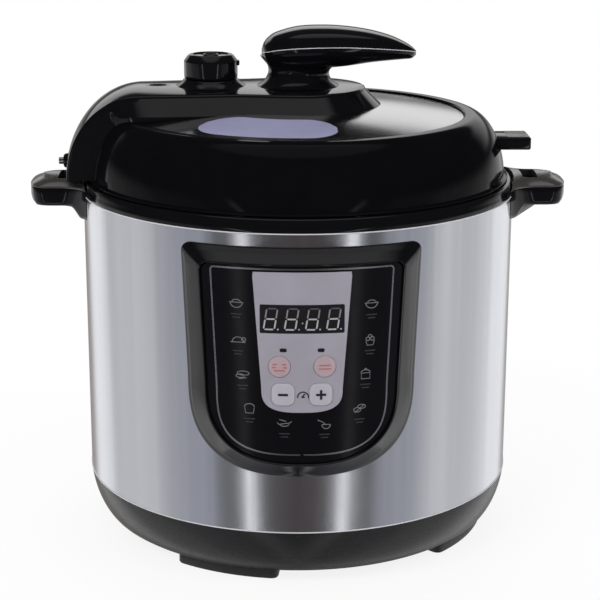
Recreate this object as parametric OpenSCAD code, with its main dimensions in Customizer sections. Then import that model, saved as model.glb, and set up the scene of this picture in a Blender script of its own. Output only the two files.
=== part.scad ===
// Electric pressure cooker with a bayonet lid, a lever-shaped lid grip, two side
// handles and a shield-shaped control panel. Millimetres, +Z up, the origin on the
// table under the middle of the body, -Y towards the control panel.

/* [Body] */
// Outer diameter of the steel shell
body_d = 286; // [285:1:292]
// Height of the steel shell
shell_h = 191; // [189:1:195]
// Wall of the steel shell
shell_wall = 0.8; // [0.6:0.1:1.1]
// Height of the shell's lower edge above the table
shell_z = 38; // [37:1:41]
// Height of the rubber feet
foot_h = 7; // [6:0.5:8]
// Width of each foot, as an angle around the body
foot_span = 32; // [24:1:36]
// How far the base tray pulls in below the shell
base_inset = 14; // [11:1:16]
// Height of the collar between the shell and the lid
collar_h = 9; // [8.5:0.5:10]
// Wall of the moulded covers
cover_wall = 3; // [2.6:0.1:3.2]

/* [Pots and heater] */
// Inner diameter of the removable pot
pot_id = 220; // [217:1:221]
// Wall of the removable pot
pot_wall = 1.5; // [1.2:0.1:2]
// Height of the removable pot's underside above the table
pot_z = 72; // [70:1:78]
// Gap all round between the pot and the pressure vessel
pot_gap = 2.5; // [2:0.1:2.8]
// Wall of the pressure vessel
vessel_wall = 1; // [0.8:0.1:1.2]
// Height of the vessel's underside above the table
vessel_z = 48; // [46:1:50]
// Diameter of the heater plate
heater_d = 170; // [140:2:180]
// Diameter of the temperature sensor's cap
sensor_d = 18; // [14:1:22]
// How far the temperature sensor can be pressed in
sensor_travel = 3; // [2:0.5:3.5]

/* [Lid] */
// Height of the lid's steel plate above the seam with the collar
lid_rise = 48.6; // [47:0.2:50]
// Radius of the lid plate's spherical crown
crown_r = 664; // [600:10:760]
// Sheet thickness of the lid plate
lid_sheet = 1.2; // [1:0.1:1.4]
// Number of bayonet teeth on the lid and on the vessel
teeth = 6; // [5:1:7]
// Turn from the open to the locked lid
lock_turn = 30; // [26:1:31]
// Height of the bridge's top above the crown of the plate
bridge_rise = 9.9; // [9:0.3:12]
// Half width of the bridge's flat top
bridge_half_w = 37; // [34:1:40]
// Half width of the bridge where it folds over the rim
bridge_rim_w = 35; // [30:1:38]
// How far the bridge's folded end stands out from the axis
bridge_reach = 153; // [151:1:154]
// Radius of the turret's top
turret_r = 43; // [40:1:46]
// Length that the lid's standing fin reaches from the axis
fin_reach = 154; // [150:1:156]
// Width of the standing fin
fin_w = 27; // [22:1:30]
// Thickness of the standing fin
fin_t = 8.6; // [7:0.2:9.4]

/* [Valves] */
// Distance of the exhaust valve from the lid's axis
valve_x = 57.5; // [56:0.5:60]
// Diameter of the exhaust valve's knob
knob_d = 33; // [30:1:35]
// Height of the exhaust valve's knob
knob_h = 15.8; // [14:0.2:18]
// Outer diameter of the steam pipe
pipe_d = 8; // [7:0.2:9]
// Distance of the float valve from the lid's axis
float_x = 92.6; // [91:0.2:94]
// How far the float pin rises under pressure
float_rise = 4.5; // [3:0.5:5]
// Diameter of the push pin in the bridge's end
rod_d = 4.6; // [4:0.2:5.4]
// How far the push pin can be pressed in
rod_travel = 3; // [2:0.5:3.5]

/* [Grip and side handles] */
// Radius of the grip's column
column_r = 20; // [18:0.5:22]
// Height of the grip's parting line above the bridge
grip_rise = 27.5; // [26:0.5:30]
// Reach of the side handles from the axis
handle_reach = 178; // [175:1:184]
// Half width of the side handles
handle_half_w = 24; // [22:1:26]
// Half width of the side handles where they flare out onto the steel
handle_root_w = 38; // [36:1:42]
// Height of the side handles' crown above the table
handle_top = 238.2; // [237:0.2:238.2]
// Width of the slot that holds the lid's fin
slot_w = 29; // [27:0.5:31]
// Length of the slot, away from the axis
slot_l = 10; // [9.6:0.2:11]
// Width of the handle's material between the steel and the slot
slot_gap = 6; // [5:0.2:7]

/* [Control panel] */
// Distance of the panel's front from the axis
panel_reach = 157; // [156:0.5:159]
// Half width of the bezel at its upper corners
bezel_half_w = 72.7; // [71.2:0.5:74.2]
// Half width of the bezel where its rounded bottom starts
bezel_low_w = 69.6; // [68.4:0.2:70.4]
// Height of the bezel's upper edge
bezel_top = 220.5; // [219:0.5:222]
// Height of the bezel's lowest point
bezel_bottom = 76; // [74:0.5:79]
// Width of the bezel's slope at the sides
bezel_side = 11.2; // [9.2:0.5:12.2]
// Diameter of the two round buttons
round_button_d = 13.4; // [11:0.2:15]
// Side of the two square buttons
square_button_w = 14.2; // [12:0.2:15]
// Travel of the buttons
button_travel = 0.8; // [0.4:0.1:1]

/* [Condensation cup] */
// Width of the condensation cup
cup_w = 44; // [36:1:48]
// Depth of the condensation cup, away from the body
cup_depth = 10.7; // [9.5:0.1:14]
// Height of the condensation cup
cup_h = 34; // [28:1:40]
// Height of the cup's rim above the table
cup_top = 204; // [198:0.5:206]
// Wall of the condensation cup
cup_wall = 1.6; // [1.2:0.1:2]

/* [Clearances] */
// Gap between pieces that sit together without moving
seat_gap = 0.2; // [0.15:0.01:0.3]
// Gap between pieces that move past each other
move_gap = 0.3; // [0.25:0.01:0.35]
// Radial gap of a turning or sliding shaft in its hole
shaft_gap = 0.05; // [0.03:0.01:0.1]

/* [Hidden] */
$fn = 96;

// Body
shell_r = body_d / 2;
shell_top = shell_z + shell_h;
seam_z = shell_top + collar_h;
lip_r = shell_r - base_inset;
foot_r = lip_r - 0.5;
foot_w = 24;
tray_floor = 2.5;
tray_top = foot_h + tray_floor;
spigot_out = shell_r - shell_wall - seat_gap;
spigot_in = shell_r - cover_wall;
spigot_h = 8;
foot_angles = [-112.5, -29, 67.5, 151];
stud_h = 8;
stud_z = vessel_z - stud_h;
stud_ring = 96;
stud_r = 6;
screw_r = 2;
head_r = 4;
head_h = 2.6;

// Pots
pot_r = pot_id / 2 + pot_wall;
vessel_in = pot_r + pot_gap;
vessel_r = vessel_in + vessel_wall;
flange_t = 3;
flange_r = vessel_r + 6.5;
flange_z = seam_z - flange_t;
tooth_len = 6;
tooth_r = flange_r + tooth_len;
tooth_pitch = 360 / teeth;
tooth_span = tooth_pitch / 2 - 2;
first_tooth = 180;
pot_rim_r = pot_r + 8;
pot_rim_z = seam_z + seat_gap;
pot_corner = 14;
heater_r = heater_d / 2;
heater_top = pot_z - move_gap;
heater_t = 14;
sensor_r = sensor_d / 2;
sensor_top = heater_top;
sensor_h = 12;
vessel_floor = vessel_z + vessel_wall;
vessel_corner = 6;

// Lid
skirt_in = tooth_r + 1.8;
skirt_r = skirt_in + lid_sheet;
lid_tooth_in = flange_r + 1.5;
lid_tooth_t = 2.5;
lid_tooth_top = flange_z - 1.5;
skirt_z = lid_tooth_top - lid_tooth_t;
apex_z = seam_z + lid_rise;
mouth_r = pot_id / 2;
drum_r = mouth_r + 7.5;
step_z = seam_z + 14;
function crown_z(r) = apex_z - crown_r + sqrt(crown_r * crown_r - r * r);
mouth_z = crown_z(mouth_r);
ring_top = mouth_z + 1.5;
ring_base_r = shell_r - 3.5;
ring_side_r = ring_base_r - 2.5;
ring_base_z = seam_z + 0.2;
ring_top_r = mouth_r + 6;
ring_power = 1.8;
bridge_top = apex_z + bridge_rise;
turret_base_r = turret_r + 9.5;
bridge_fold = 48;
taper_start = bridge_reach - 57;
taper_end = bridge_reach - 35;
bridge_drop_z = seam_z + 2;
bridge_low_z = seam_z + 0.6;
fin_z = seam_z + 17;

// Seal
gasket_z = pot_rim_z + pot_wall + move_gap;
gasket_top = step_z - lid_sheet - move_gap;
gasket_in = mouth_r + 0.5;
gasket_out = gasket_in + 12.5;
plate_t = 1.2;
plate_z = seam_z + 7;
plate_vent_ring = mouth_r - 14;
stud_shaft_r = 4;
grommet_out = 8.5;
grommet_groove = 6.2;

// Valves
pipe_r = pipe_d / 2;
pipe_low = seam_z + 18;
pipe_top = bridge_top + 11;
collar_rise = 4.5;
knob_r = knob_d / 2;
knob_z = bridge_top + collar_rise + move_gap;
weight_r = 7.5;
weight_top = knob_z + 10;
float_shaft_r = 2.4;
float_head_r = 3.4;
float_flange_r = 5.5;
float_seal_r = 6;
float_seal_top = crown_z(float_x + float_seal_r) - lid_sheet - float_rise - move_gap;
rod_r = rod_d / 2;
rod_z = seam_z + 8;
rod_tip = bridge_reach + 6.5;
rod_collar_r = rod_r + 1.6;

// Grip
seam_line = bridge_top + grip_rise;
column_top = bridge_top + 21;
// Stations along the grip: x, half width, underside, parting line, top, all
// heights counted from the parting line's highest level.
grip_rows = [
    [-24, 4, -7.5, -5.5, -4],
    [-21.5, 12, -12, -4.5, 1.5],
    [-14, 21, -15, -2.4, 7],
    [0, 26, -16, -0.6, 10.6],
    [17, 27, -16, 0, 11.6],
    [32, 25.5, -15, 0, 10.6],
    [47, 22.5, -12.4, -1, 8.4],
    [60, 18, -11, -2.4, 5],
    [69, 13, -10.4, -3.6, 1],
    [75, 7.5, -9.8, -4.8, -2.6],
    [77.4, 3, -7.8, -5.6, -4.8]
];
hollow_share = 0.72;

// Side handles
handle_seam = shell_top + 3;
handle_root = shell_r - 15;
handle_low = shell_top - 16.3;
handle_floor = shell_top - 9.3;
flare_start = shell_r - 5;
flare_end = shell_r + 14;
flare_power = 2.2;
tip_power = 2.5;
slot_x = shell_r + slot_gap;
handle_span = handle_root_w + 8;
lug_h = 2.4;
lug_l = 14;
lug_w = 5;
handle_screw_x = shell_r + 5.6;
handle_screw_y = 19;
screw_seat = handle_floor + cover_wall - 0.2;

// Panel
bezel_low_z = bezel_bottom + 61;
bezel_corner = 6;
face_r = panel_reach - 2;
face_t = 2.8;
face_back = face_r - face_t;
plate_film = 0.5;
trim_in = 7;
board_front = face_r - 9;
board_t = 1.6;
board_low = 104;
board_w = 76;
board_h = 99;
board_screws = [for (x = [-33, 33], z = [board_low + 14, board_low + 94]) [x, z]];
board_screw_r = 1.2;
button_rear = board_front + 3;
// Centres of the buttons, as [x, z]
cancel_at = [-13.6, 150.5];
timer_at = [13.6, 150.5];
minus_at = [-11.4, 133];
plus_at = [11.4, 133];
window_w = 50.4;
window_h = 17.6;
window_z = 180;
lamp_at = [11.3, 160.8];
lamp_size = [4.2, 2.4];
centre_top_w = 29.6;
centre_low_w = 24.4;
centre_top = 208.5;
centre_bottom = 121.6;

// Rear
inlet_z = 67;
inlet_w = 28;
inlet_h = 24;
cup_front = shell_r + 3 + move_gap;
rear_reach = cup_front + cup_depth;
hood_top = cup_top + 8;

// ---------- helpers ----------

// Mirrors a list's order
function flip(list) = [for (i = [len(list) - 1:-1:0]) list[i]];

// A path moved to its right-hand side by d, with mitred corners, and kept off the axis
function unit(v) = v / norm(v);
function turn_right(v) = [v[1], -v[0]];
function inset_path(p, d) = [
    for (i = [0:len(p) - 1])
        let (
            a = turn_right(unit(p[max(i, 1)] - p[max(i, 1) - 1])),
            b = turn_right(unit(p[min(i, len(p) - 2) + 1] - p[min(i, len(p) - 2)])),
            m = unit(a + b),
            q = p[i] + m * d / max(0.5, m * a)
        ) [max(0, q[0]), q[1]]
];

// A quarter of a superellipse from [0, b] to [a, 0]
function quarter(a, b, power, steps) = [
    for (i = [0:steps])
        let (t = 90 * i / steps)
        [a * pow(sin(t), 2 / power), b * pow(cos(t), 2 / power)]
];

// Turns a closed profile about the vertical axis
module lathe(profile) {
    rotate_extrude() polygon(profile);
}

// A ring sector between two radii, centred on an angle
module sector(r_in, r_out, z, h, centre, span) {
    rotate([0, 0, centre - span / 2]) translate([0, 0, z])
        rotate_extrude(angle = span) translate([r_in, 0]) square([r_out - r_in, h]);
}

// Places its children at the four stud positions
module at_studs() {
    for (a = [45:90:315]) rotate([0, 0, a]) translate([stud_ring, 0, 0]) children();
}

// Stretches an x-z outline along Y, from y0 to y1
module slab_y(outline, y0, y1) {
    translate([0, y1, 0]) rotate([90, 0, 0]) linear_extrude(y1 - y0) polygon(outline);
}

// The part of a tube between two radii that lies behind an x-z outline, at the front
module on_front(outline, r_in, r_out) {
    difference() {
        intersection() {
            cylinder(r = r_out, h = seam_z);
            slab_y(outline, -r_out - 1, -r_in * 0.6);
        }
        translate([0, 0, -1]) cylinder(r = r_in, h = seam_z + 2);
    }
}

// Joins rings of points, all of one length, into a closed skin
function ring_faces(rings, n, closed) = [
    for (k = [0:rings - (closed ? 1 : 2)], i = [0:n - 1], half = [0, 1])
        let (a = k * n, b = ((k + 1) % rings) * n, j = (i + 1) % n)
        half == 0 ? [a + i, b + j, a + j] : [a + i, b + i, b + j]
];
module loft(rings) {
    n = len(rings[0]);
    caps = [[for (i = [0:n - 1]) i], [for (i = [n - 1:-1:0]) (len(rings) - 1) * n + i]];
    polyhedron([for (r = rings) each r], concat(ring_faces(len(rings), n, false), caps));
}

// A coil spring standing on z0, from a round wire
module coil_spring(r, wire_r, z0, z1, turns) {
    sides = 6;
    steps = turns * 12;
    rise = z1 - z0 - 2 * wire_r;
    loft([
        for (k = [0:steps])
            let (a = 360 * turns * k / steps, z = z0 + wire_r + rise * k / steps)
            [for (s = [0:sides - 1])
                let (q = -360 * s / sides, rr = r + wire_r * cos(q))
                [rr * cos(a), rr * sin(a), z + wire_r * sin(q)]]
    ]);
}

// ---------- base ----------

function base_curve(cut) = [
    for (q = quarter(base_inset, shell_z - foot_h, 1.6, 12))
        [lip_r + base_inset - (base_inset - q[1] * base_inset / (shell_z - foot_h)) - cut,
         shell_z - q[0] * (shell_z - foot_h) / base_inset]
];

module base_tray() {
    outer = base_curve(0);
    inner = [for (p = flip(base_curve(cover_wall))) if (p[1] > tray_top) p];
    color([0.09, 0.09, 0.1]) difference() {
        union() {
            lathe(concat(
                outer, [[0, foot_h], [0, tray_top]], [[lip_r - cover_wall, tray_top]], inner,
                [[spigot_in, shell_z + spigot_h], [spigot_out, shell_z + spigot_h], [spigot_out, shell_z]]
            ));
            at_studs() translate([0, 0, foot_h]) cylinder(r = stud_r, h = stud_z - foot_h);
            for (x = [-44, 44], y = [-78, -22])
                translate([x, y, foot_h]) cylinder(r = 3.5, h = board_z - foot_h);
        }
        at_studs() {
            translate([0, 0, -1]) cylinder(r = screw_r + 0.1, h = stud_z + 2);
            translate([0, 0, -1]) cylinder(r = head_r + 0.4, h = foot_h + head_h + 1.6);
        }
        for (a = [0:20:340]) rotate([0, 0, a + 10])
            translate([100, -2, -1]) cube([18, 4, shell_z]);
    }
}

module rubber_feet() {
    color([0.06, 0.06, 0.065])
        for (a = foot_angles) sector(foot_r - foot_w, foot_r, 0, foot_h, a, foot_span);
}

module base_screws() {
    head_z = foot_h + 0.6;
    color("silver") at_studs() {
        translate([0, 0, head_z]) cylinder(r = head_r, h = head_h);
        translate([0, 0, head_z]) cylinder(r = screw_r - shaft_gap, h = stud_z + 6 - head_z);
    }
}

module steel_shell() {
    color([0.78, 0.77, 0.77]) difference() {
        translate([0, 0, shell_z]) cylinder(r = shell_r, h = shell_h);
        translate([0, 0, shell_z - 1]) cylinder(r = shell_r - shell_wall, h = shell_h + 2);
        translate([-46, -shell_r - 5, bezel_bottom + 13]) cube([92, 40, bezel_top - bezel_bottom - 26]);
        translate([-inlet_w / 2 - seat_gap, shell_r - 20, inlet_z - inlet_h / 2 - seat_gap])
            cube([inlet_w + 2 * seat_gap, 40, inlet_h + 2 * seat_gap]);
    }
}

module collar() {
    trough_top = skirt_z - 2.5;
    trough_low = trough_top - 2.5;
    wall_in = skirt_r + 3.5;
    seat_out = flange_r - 0.5;
    seat_in = vessel_r + 1.2;
    color([0.05, 0.05, 0.055]) union() {
        lathe([
            [seat_in, trough_low], [seat_in, flange_z], [seat_out, flange_z], [seat_out, trough_top],
            [wall_in, trough_top], [wall_in, seam_z - 0.6], [ring_base_r + 1.2, seam_z - 0.6],
            [ring_base_r + 2.4, seam_z - 1.4], [shell_r - 0.2, seam_z - 5], [shell_r + 0.3, seam_z - 7],
            [shell_r + 0.3, shell_top], [spigot_out, shell_top], [spigot_out, shell_top - spigot_h],
            [spigot_in, shell_top - spigot_h], [spigot_in, trough_low]
        ]);
        for (s = [-1, 1], y = [-1, 1])
            translate([s * (shell_r + 2) - lug_l / 2, y * handle_screw_y - lug_w / 2, shell_top])
                cube([lug_l, lug_w, lug_h]);
    }
}

// Plan of a side handle drawn in by a distance: a flare onto the steel, straight sides and
// a rounded end
function handle_plan(inset) =
    let (
        w = handle_half_w - inset,
        root_w = handle_root_w - inset,
        tip = 0.5 * handle_half_w,
        straight = max(flare_end + 1, handle_reach - inset - tip),
        flare = [for (i = [0:8]) let (u = i / 8)
            [flare_start + (flare_end - flare_start) * u, w + (root_w - w) * pow(1 - u, flare_power)]],
        end = flip([for (q = quarter(w, tip, tip_power, 10)) [straight + q[1], q[0]]]),
        side = concat([[handle_root, root_w]], flare, end)
    ) concat(flip(side), [for (q = side) if (q[1] > 0) [q[0], -q[1]]]);

// Side view of the handle's lower body, cut back by a wall
module handle_side(cut) {
    slab_y([
        [handle_root, handle_low + cut], [shell_r + 0.5, handle_low + cut],
        [shell_r + 6, handle_floor + cut], [handle_reach - 5, handle_floor + cut],
        [handle_reach - 1.4 - cut, handle_floor + 2.4 + cut], [handle_reach - cut, handle_floor + 5 + cut],
        [handle_reach - cut, handle_seam + cut], [handle_root, handle_seam + cut]
    ], -handle_span, handle_span);
}

module handle_body() {
    color([0.05, 0.05, 0.055]) difference() {
        union() {
            difference() {
                intersection() {
                    handle_side(0);
                    translate([0, 0, handle_low])
                        linear_extrude(handle_seam - handle_low) polygon(handle_plan(0));
                }
                difference() {
                    intersection() {
                        handle_side(cover_wall);
                        translate([0, 0, handle_low]) linear_extrude(shell_h) polygon(handle_plan(cover_wall));
                    }
                    cylinder(r = shell_r + cover_wall, h = seam_z);
                }
            }
            for (y = [-1, 1]) translate([handle_screw_x, y * handle_screw_y, handle_floor + 1])
                cylinder(r = 4.4, h = shell_top - handle_floor - 1);
        }
        cylinder(r = shell_r + seat_gap, h = seam_z);
        translate([0, 0, shell_top - seat_gap]) cylinder(r = shell_r + 0.3 + seat_gap, h = seam_z);
        for (y = [-1, 1]) translate([handle_screw_x, y * handle_screw_y, 0]) {
            cylinder(r = screw_r, h = seam_z);
            cylinder(r = head_r - 0.1, h = screw_seat);
        }
        for (y = [-1, 1]) translate([shell_r + 2, y * handle_screw_y, shell_top])
            translate([-lug_l / 2 - 0.4, -lug_w / 2 - 0.4, 0])
                cube([lug_l + 0.8, lug_w + 0.8, lug_h + seat_gap]);
    }
}

// The cap's crowned section across the handle, and its side view with the sloping end
cap_shoulder = handle_seam + 1.4;
cap_section = concat(
    [[-handle_span, handle_seam - 1], [handle_span, handle_seam - 1], [handle_span, cap_shoulder - 1.2],
     [handle_half_w, cap_shoulder], [handle_half_w - 5.5, handle_top - 2.3]],
    [for (i = [6:-1:-6]) let (y = (handle_half_w - 6.5) * i / 6) [y, handle_top - 2 * pow(abs(i) / 6, 2)]],
    [[-handle_half_w + 5.5, handle_top - 2.3], [-handle_half_w, cap_shoulder],
     [-handle_span, cap_shoulder - 1.2]]
);
cap_side = [
    [handle_root, handle_seam - 1], [handle_root, handle_top + 1], [handle_reach - 16, handle_top + 1],
    [handle_reach - 16, handle_top], [handle_reach - 6, handle_top - 1.6],
    [handle_reach - 0.6, cap_shoulder + 0.4], [handle_reach + 1, cap_shoulder - 0.4],
    [handle_reach + 1, handle_seam - 1]
];

module handle_cap() {
    color([0.16, 0.15, 0.15]) difference() {
        intersection() {
            translate([0, 0, handle_seam + shaft_gap])
                linear_extrude(handle_top + 1 - handle_seam) polygon(handle_plan(0));
            rotate([90, 0, 90]) linear_extrude(handle_reach + 2) polygon(cap_section);
            slab_y(cap_side, -handle_span, handle_span);
        }
        intersection() {
            translate([0, 0, handle_seam - 1])
                linear_extrude(handle_top - handle_seam - 2) polygon(handle_plan(10));
            translate([shell_r + cover_wall + 1, -handle_span, 0])
                cube([handle_reach - shell_r - 12, 2 * handle_span, handle_top]);
        }
        cylinder(r = shell_r + 0.3 + seat_gap, h = handle_top + 1);
        translate([slot_x, -slot_w / 2, handle_seam - 1]) cube([slot_l, slot_w, 20]);
    }
}

module handle_body_left() { mirror([1, 0, 0]) handle_body(); }
module handle_cap_left() { mirror([1, 0, 0]) handle_cap(); }
module handle_body_right() { handle_body(); }
module handle_cap_right() { handle_cap(); }

module handle_screws() {
    low = screw_seat - head_h;
    color("silver") for (s = [-1, 1], y = [-1, 1])
        translate([s * handle_screw_x, y * handle_screw_y, 0]) {
            translate([0, 0, low]) cylinder(r = head_r - 0.4, h = head_h);
            translate([0, 0, low]) cylinder(r = screw_r - shaft_gap, h = shell_top - low - 0.1);
        }
}

// ---------- pots and heater ----------

module pressure_vessel() {
    color([0.62, 0.63, 0.65]) difference() {
        union() {
            lathe([
                [0, vessel_z], [vessel_r - vessel_corner, vessel_z],
                [vessel_r, vessel_z + vessel_corner], [vessel_r, flange_z],
                [flange_r, flange_z], [flange_r, seam_z], [vessel_in, seam_z],
                [vessel_in, vessel_floor + 0.9 * vessel_corner], [vessel_in - 0.9 * vessel_corner, vessel_floor],
                [0, vessel_floor]
            ]);
            for (k = [0:teeth - 1])
                sector(flange_r - 1, tooth_r, flange_z, flange_t, first_tooth + tooth_pitch * k, tooth_span);
            at_studs() translate([0, 0, stud_z]) cylinder(r = stud_r, h = stud_h + 0.2);
        }
        at_studs() translate([0, 0, stud_z - 1]) cylinder(r = screw_r, h = stud_h + 0.4);
        translate([0, 0, vessel_z - 1]) cylinder(r = 3, h = 4);
    }
}

module heater_plate() {
    color([0.7, 0.7, 0.71]) difference() {
        union() {
            translate([0, 0, heater_top - heater_t]) cylinder(r = heater_r, h = heater_t);
            for (a = [30:120:270]) rotate([0, 0, a])
                translate([heater_r - 12, 0, vessel_floor]) cylinder(r = 5, h = 10);
        }
        translate([0, 0, heater_top - heater_t - 1]) cylinder(r = sensor_r + 0.6, h = heater_t + 2);
    }
}

module temperature_sensor() {
    color([0.75, 0.75, 0.76]) union() {
        translate([0, 0, sensor_top - 5]) cylinder(r = sensor_r, h = 5);
        translate([0, 0, sensor_top - sensor_h]) cylinder(r = sensor_r - 4, h = sensor_h);
    }
}

module sensor_spring() {
    color("gainsboro")
        coil_spring(sensor_r - 2.4, 0.6, vessel_floor + 0.2, sensor_top - 5.2, 5);
}

module inner_pot() {
    corner_in = pot_corner - pot_wall;
    outer = [for (a = [0:9:90]) [pot_r - pot_corner + pot_corner * sin(a),
                                 pot_z + pot_corner - pot_corner * cos(a)]];
    inner = [for (a = [90:-9:0]) [pot_r - pot_corner + corner_in * sin(a),
                                  pot_z + pot_corner - corner_in * cos(a)]];
    color([0.72, 0.73, 0.75]) lathe(concat(
        [[0, pot_z]], outer,
        [[pot_r, pot_rim_z], [pot_rim_r, pot_rim_z], [pot_rim_r, pot_rim_z + pot_wall],
         [pot_r - pot_wall, pot_rim_z + pot_wall]],
        inner, [[0, pot_z + pot_wall]]
    ));
}

// ---------- electrics ----------

board_z = 22;
power_board_y = -84;

module power_board() {
    color([0.1, 0.36, 0.2]) translate([-50, power_board_y, board_z]) cube([100, 68, board_t]);
}

module power_parts() {
    top = board_z + board_t;
    color([0.15, 0.15, 0.17]) {
        translate([-42, -70, top]) cube([22, 24, 17]);
        translate([-12, -66, top]) cube([20, 16, 15]);
        translate([26, -58, top]) cylinder(r = 7, h = 17);
        translate([12, -34, top]) cube([26, 12, 10]);
    }
}

ribbon_w = 18;
ribbon_t = 1.2;
module ribbon_cable() {
    rear = -board_front + board_t;
    drop = -shell_r + 8.6;
    low = board_z + board_t;
    far = power_board_y + 8;
    color([0.75, 0.75, 0.78]) rotate([90, 0, 90]) translate([0, 0, -ribbon_w / 2]) linear_extrude(ribbon_w)
        polygon([
            [rear, board_low], [drop - ribbon_t, board_low], [drop - ribbon_t, low + 21.4], [far, low + 4],
            [far, low], [far + ribbon_t, low], [far + ribbon_t, low + 5],
            [drop, low + 22.4], [drop, board_low + ribbon_t], [rear, board_low + ribbon_t]
        ]);
}

module inlet_socket() {
    back = shell_r + 2.6;
    color([0.08, 0.08, 0.085]) difference() {
        union() {
            translate([-inlet_w / 2, shell_r - 22, inlet_z - inlet_h / 2]) cube([inlet_w, 23, inlet_h]);
            translate([-inlet_w / 2 - 5, shell_r + 0.2, inlet_z - inlet_h / 2 - 4])
                cube([inlet_w + 10, back - shell_r - 0.2, inlet_h + 8]);
        }
        translate([-inlet_w / 2 + 2, shell_r - 19, inlet_z - inlet_h / 2 + 2])
            cube([inlet_w - 4, 40, inlet_h - 4]);
    }
}

module inlet_pins() {
    color("silver") for (p = [[-7, -3], [0, 3], [7, -3]])
        translate([p[0] - 1, shell_r - 19, inlet_z + p[1] - 2]) cube([2, 15, 4]);
}

// ---------- condensation cup ----------

module cup_bracket() {
    half = cup_w / 2;
    color([0.08, 0.08, 0.085]) difference() {
        translate([-half - 6.4, shell_r - 6, cup_top - 4])
            cube([cup_w + 12.8, rear_reach - shell_r + 6, hood_top - cup_top + 4]);
        cylinder(r = shell_r + seat_gap, h = seam_z);
        translate([-half - 3.4, shell_r + 3, cup_top - 1.8]) cube([cup_w + 6.8, 40, 4]);
        translate([-half - move_gap, shell_r + 3, cup_top - 5]) cube([cup_w + 2 * move_gap, 40, 6]);
    }
}

module condensation_cup() {
    half = cup_w / 2;
    color([0.75, 0.77, 0.8, 0.6]) difference() {
        union() {
            translate([-half, cup_front, cup_top - cup_h]) cube([cup_w, cup_depth, cup_h]);
            translate([-half - 3, cup_front, cup_top - 1.5]) cube([cup_w + 6, cup_depth, 1.5]);
        }
        translate([-half + cup_wall, cup_front + cup_wall, cup_top - cup_h + cup_wall])
            cube([cup_w - 2 * cup_wall, cup_depth - 2 * cup_wall, cup_h]);
    }
}

// ---------- control panel ----------

// A shield: level top with round corners, tapering sides and a superelliptical bottom
function shield(top_w, low_w, top_z, low_z, bottom_z, corner, power) = concat(
    [for (q = quarter(low_z - bottom_z, low_w, power, 16)) [q[1], low_z - q[0]]],
    flip([for (q = quarter(low_z - bottom_z, low_w, power, 16)) if (q[1] > 0.01) [-q[1], low_z - q[0]]]),
    [for (a = [180:-15:90]) [-top_w + corner + corner * cos(a), top_z - corner + corner * sin(a)]],
    [for (t = [1:edge_steps - 1]) [(top_w - corner) * (2 * t / edge_steps - 1), top_z]],
    [for (a = [90:-15:0]) [top_w - corner + corner * cos(a), top_z - corner + corner * sin(a)]]
);
edge_steps = 12;
// The bezel's outline drawn in by side at the sides, and by top and bottom at its ends
function bezel_line(side, top, bottom, corner, power) = shield(
    bezel_half_w - side, bezel_low_w - side, bezel_top - top, bezel_low_z, bezel_bottom + bottom, corner,
    power);
face_line = bezel_line(bezel_side + 1.2, 8.4, 13.2, 4, 2.6);
trim_line = bezel_line(bezel_side + 6.5, 9.7, 17.9, 2.4, 3.2);
trim_hole = bezel_line(bezel_side + 7.7, 10.9, 19.1, 1.6, 3.2);
centre_line = shield(centre_top_w, centre_low_w, centre_top, centre_bottom + 15, centre_bottom, 0.5, 3);

module panel_bezel() {
    function wrap(line, r) = [for (p = line) [p[0], -sqrt(r * r - p[0] * p[0]), p[1]]];
    back = shell_r + seat_gap;
    edge = bezel_line(0, 0, 0, bezel_corner, 2.8);
    hole = bezel_line(bezel_side + 1, 8.2, 13, 4, 2.6);
    rings = [
        wrap(edge, shell_r - 1),
        wrap(edge, back + 0.6),
        wrap(bezel_line(3.4, 3, 4.2, bezel_corner - 0.5, 2.8), back + 4.3),
        wrap(bezel_line(bezel_side - 1.2, 6.4, 11, 5, 2.6), panel_reach - 0.5),
        wrap(bezel_line(bezel_side, 7.2, 12, 4.6, 2.6), panel_reach),
        wrap(hole, panel_reach),
        wrap(hole, shell_r - 1)
    ];
    n = len(rings[0]);
    color([0.07, 0.07, 0.075]) difference() {
        polyhedron([for (r = rings) each r], [for (f = ring_faces(len(rings), n, true)) flip(f)]);
        cylinder(r = back, h = seam_z);
    }
}

function rounded(w, h, c, at) = [
    for (k = [0:3], a = [0:15:90])
        let (q = 90 * k + a, sx = (k == 0 || k == 3) ? 1 : -1, sz = k < 2 ? 1 : -1)
        [at[0] + sx * (w / 2 - c) + c * cos(q), at[1] + sz * (h / 2 - c) + c * sin(q)]
];
function lamp_line(s, cut) = rounded(
    lamp_size[0] - 2 * cut, lamp_size[1] - 2 * cut, 1 - cut, [s * lamp_at[0], lamp_at[1]]);
window_at = [0, window_z];

module panel_cuts(r_in) {
    slab_y(rounded(window_w, window_h, 0.6, window_at), -panel_reach, -r_in);
    for (s = [-1, 1]) slab_y(lamp_line(s, 0), -panel_reach, -r_in);
    for (at = [cancel_at, timer_at]) translate([at[0], -r_in, at[1]]) rotate([90, 0, 0])
        cylinder(r = round_button_d / 2 + shaft_gap, h = 30);
    for (at = [minus_at, plus_at])
        slab_y(rounded(square_button_w + 2 * shaft_gap, square_button_w + 2 * shaft_gap, 4, at),
               -panel_reach, -r_in);
}

module panel_face() {
    color([0.05, 0.05, 0.06]) difference() {
        union() {
            on_front(face_line, face_back, face_r);
            for (at = board_screws) translate([at[0], -board_front, at[1]])
                rotate([90, 0, 0]) cylinder(r = 3, h = face_back - 2 - board_front);
        }
        panel_cuts(board_front - 5);
        for (at = board_screws) translate([at[0], -board_front + 1, at[1]])
            rotate([90, 0, 0]) cylinder(r = board_screw_r, h = 5);
    }
}

module panel_trim() {
    color([0.72, 0.72, 0.75]) difference() {
        on_front(trim_line, face_r, face_r + 0.3);
        slab_y(trim_hole, -panel_reach, -face_r * 0.6);
    }
}

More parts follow.
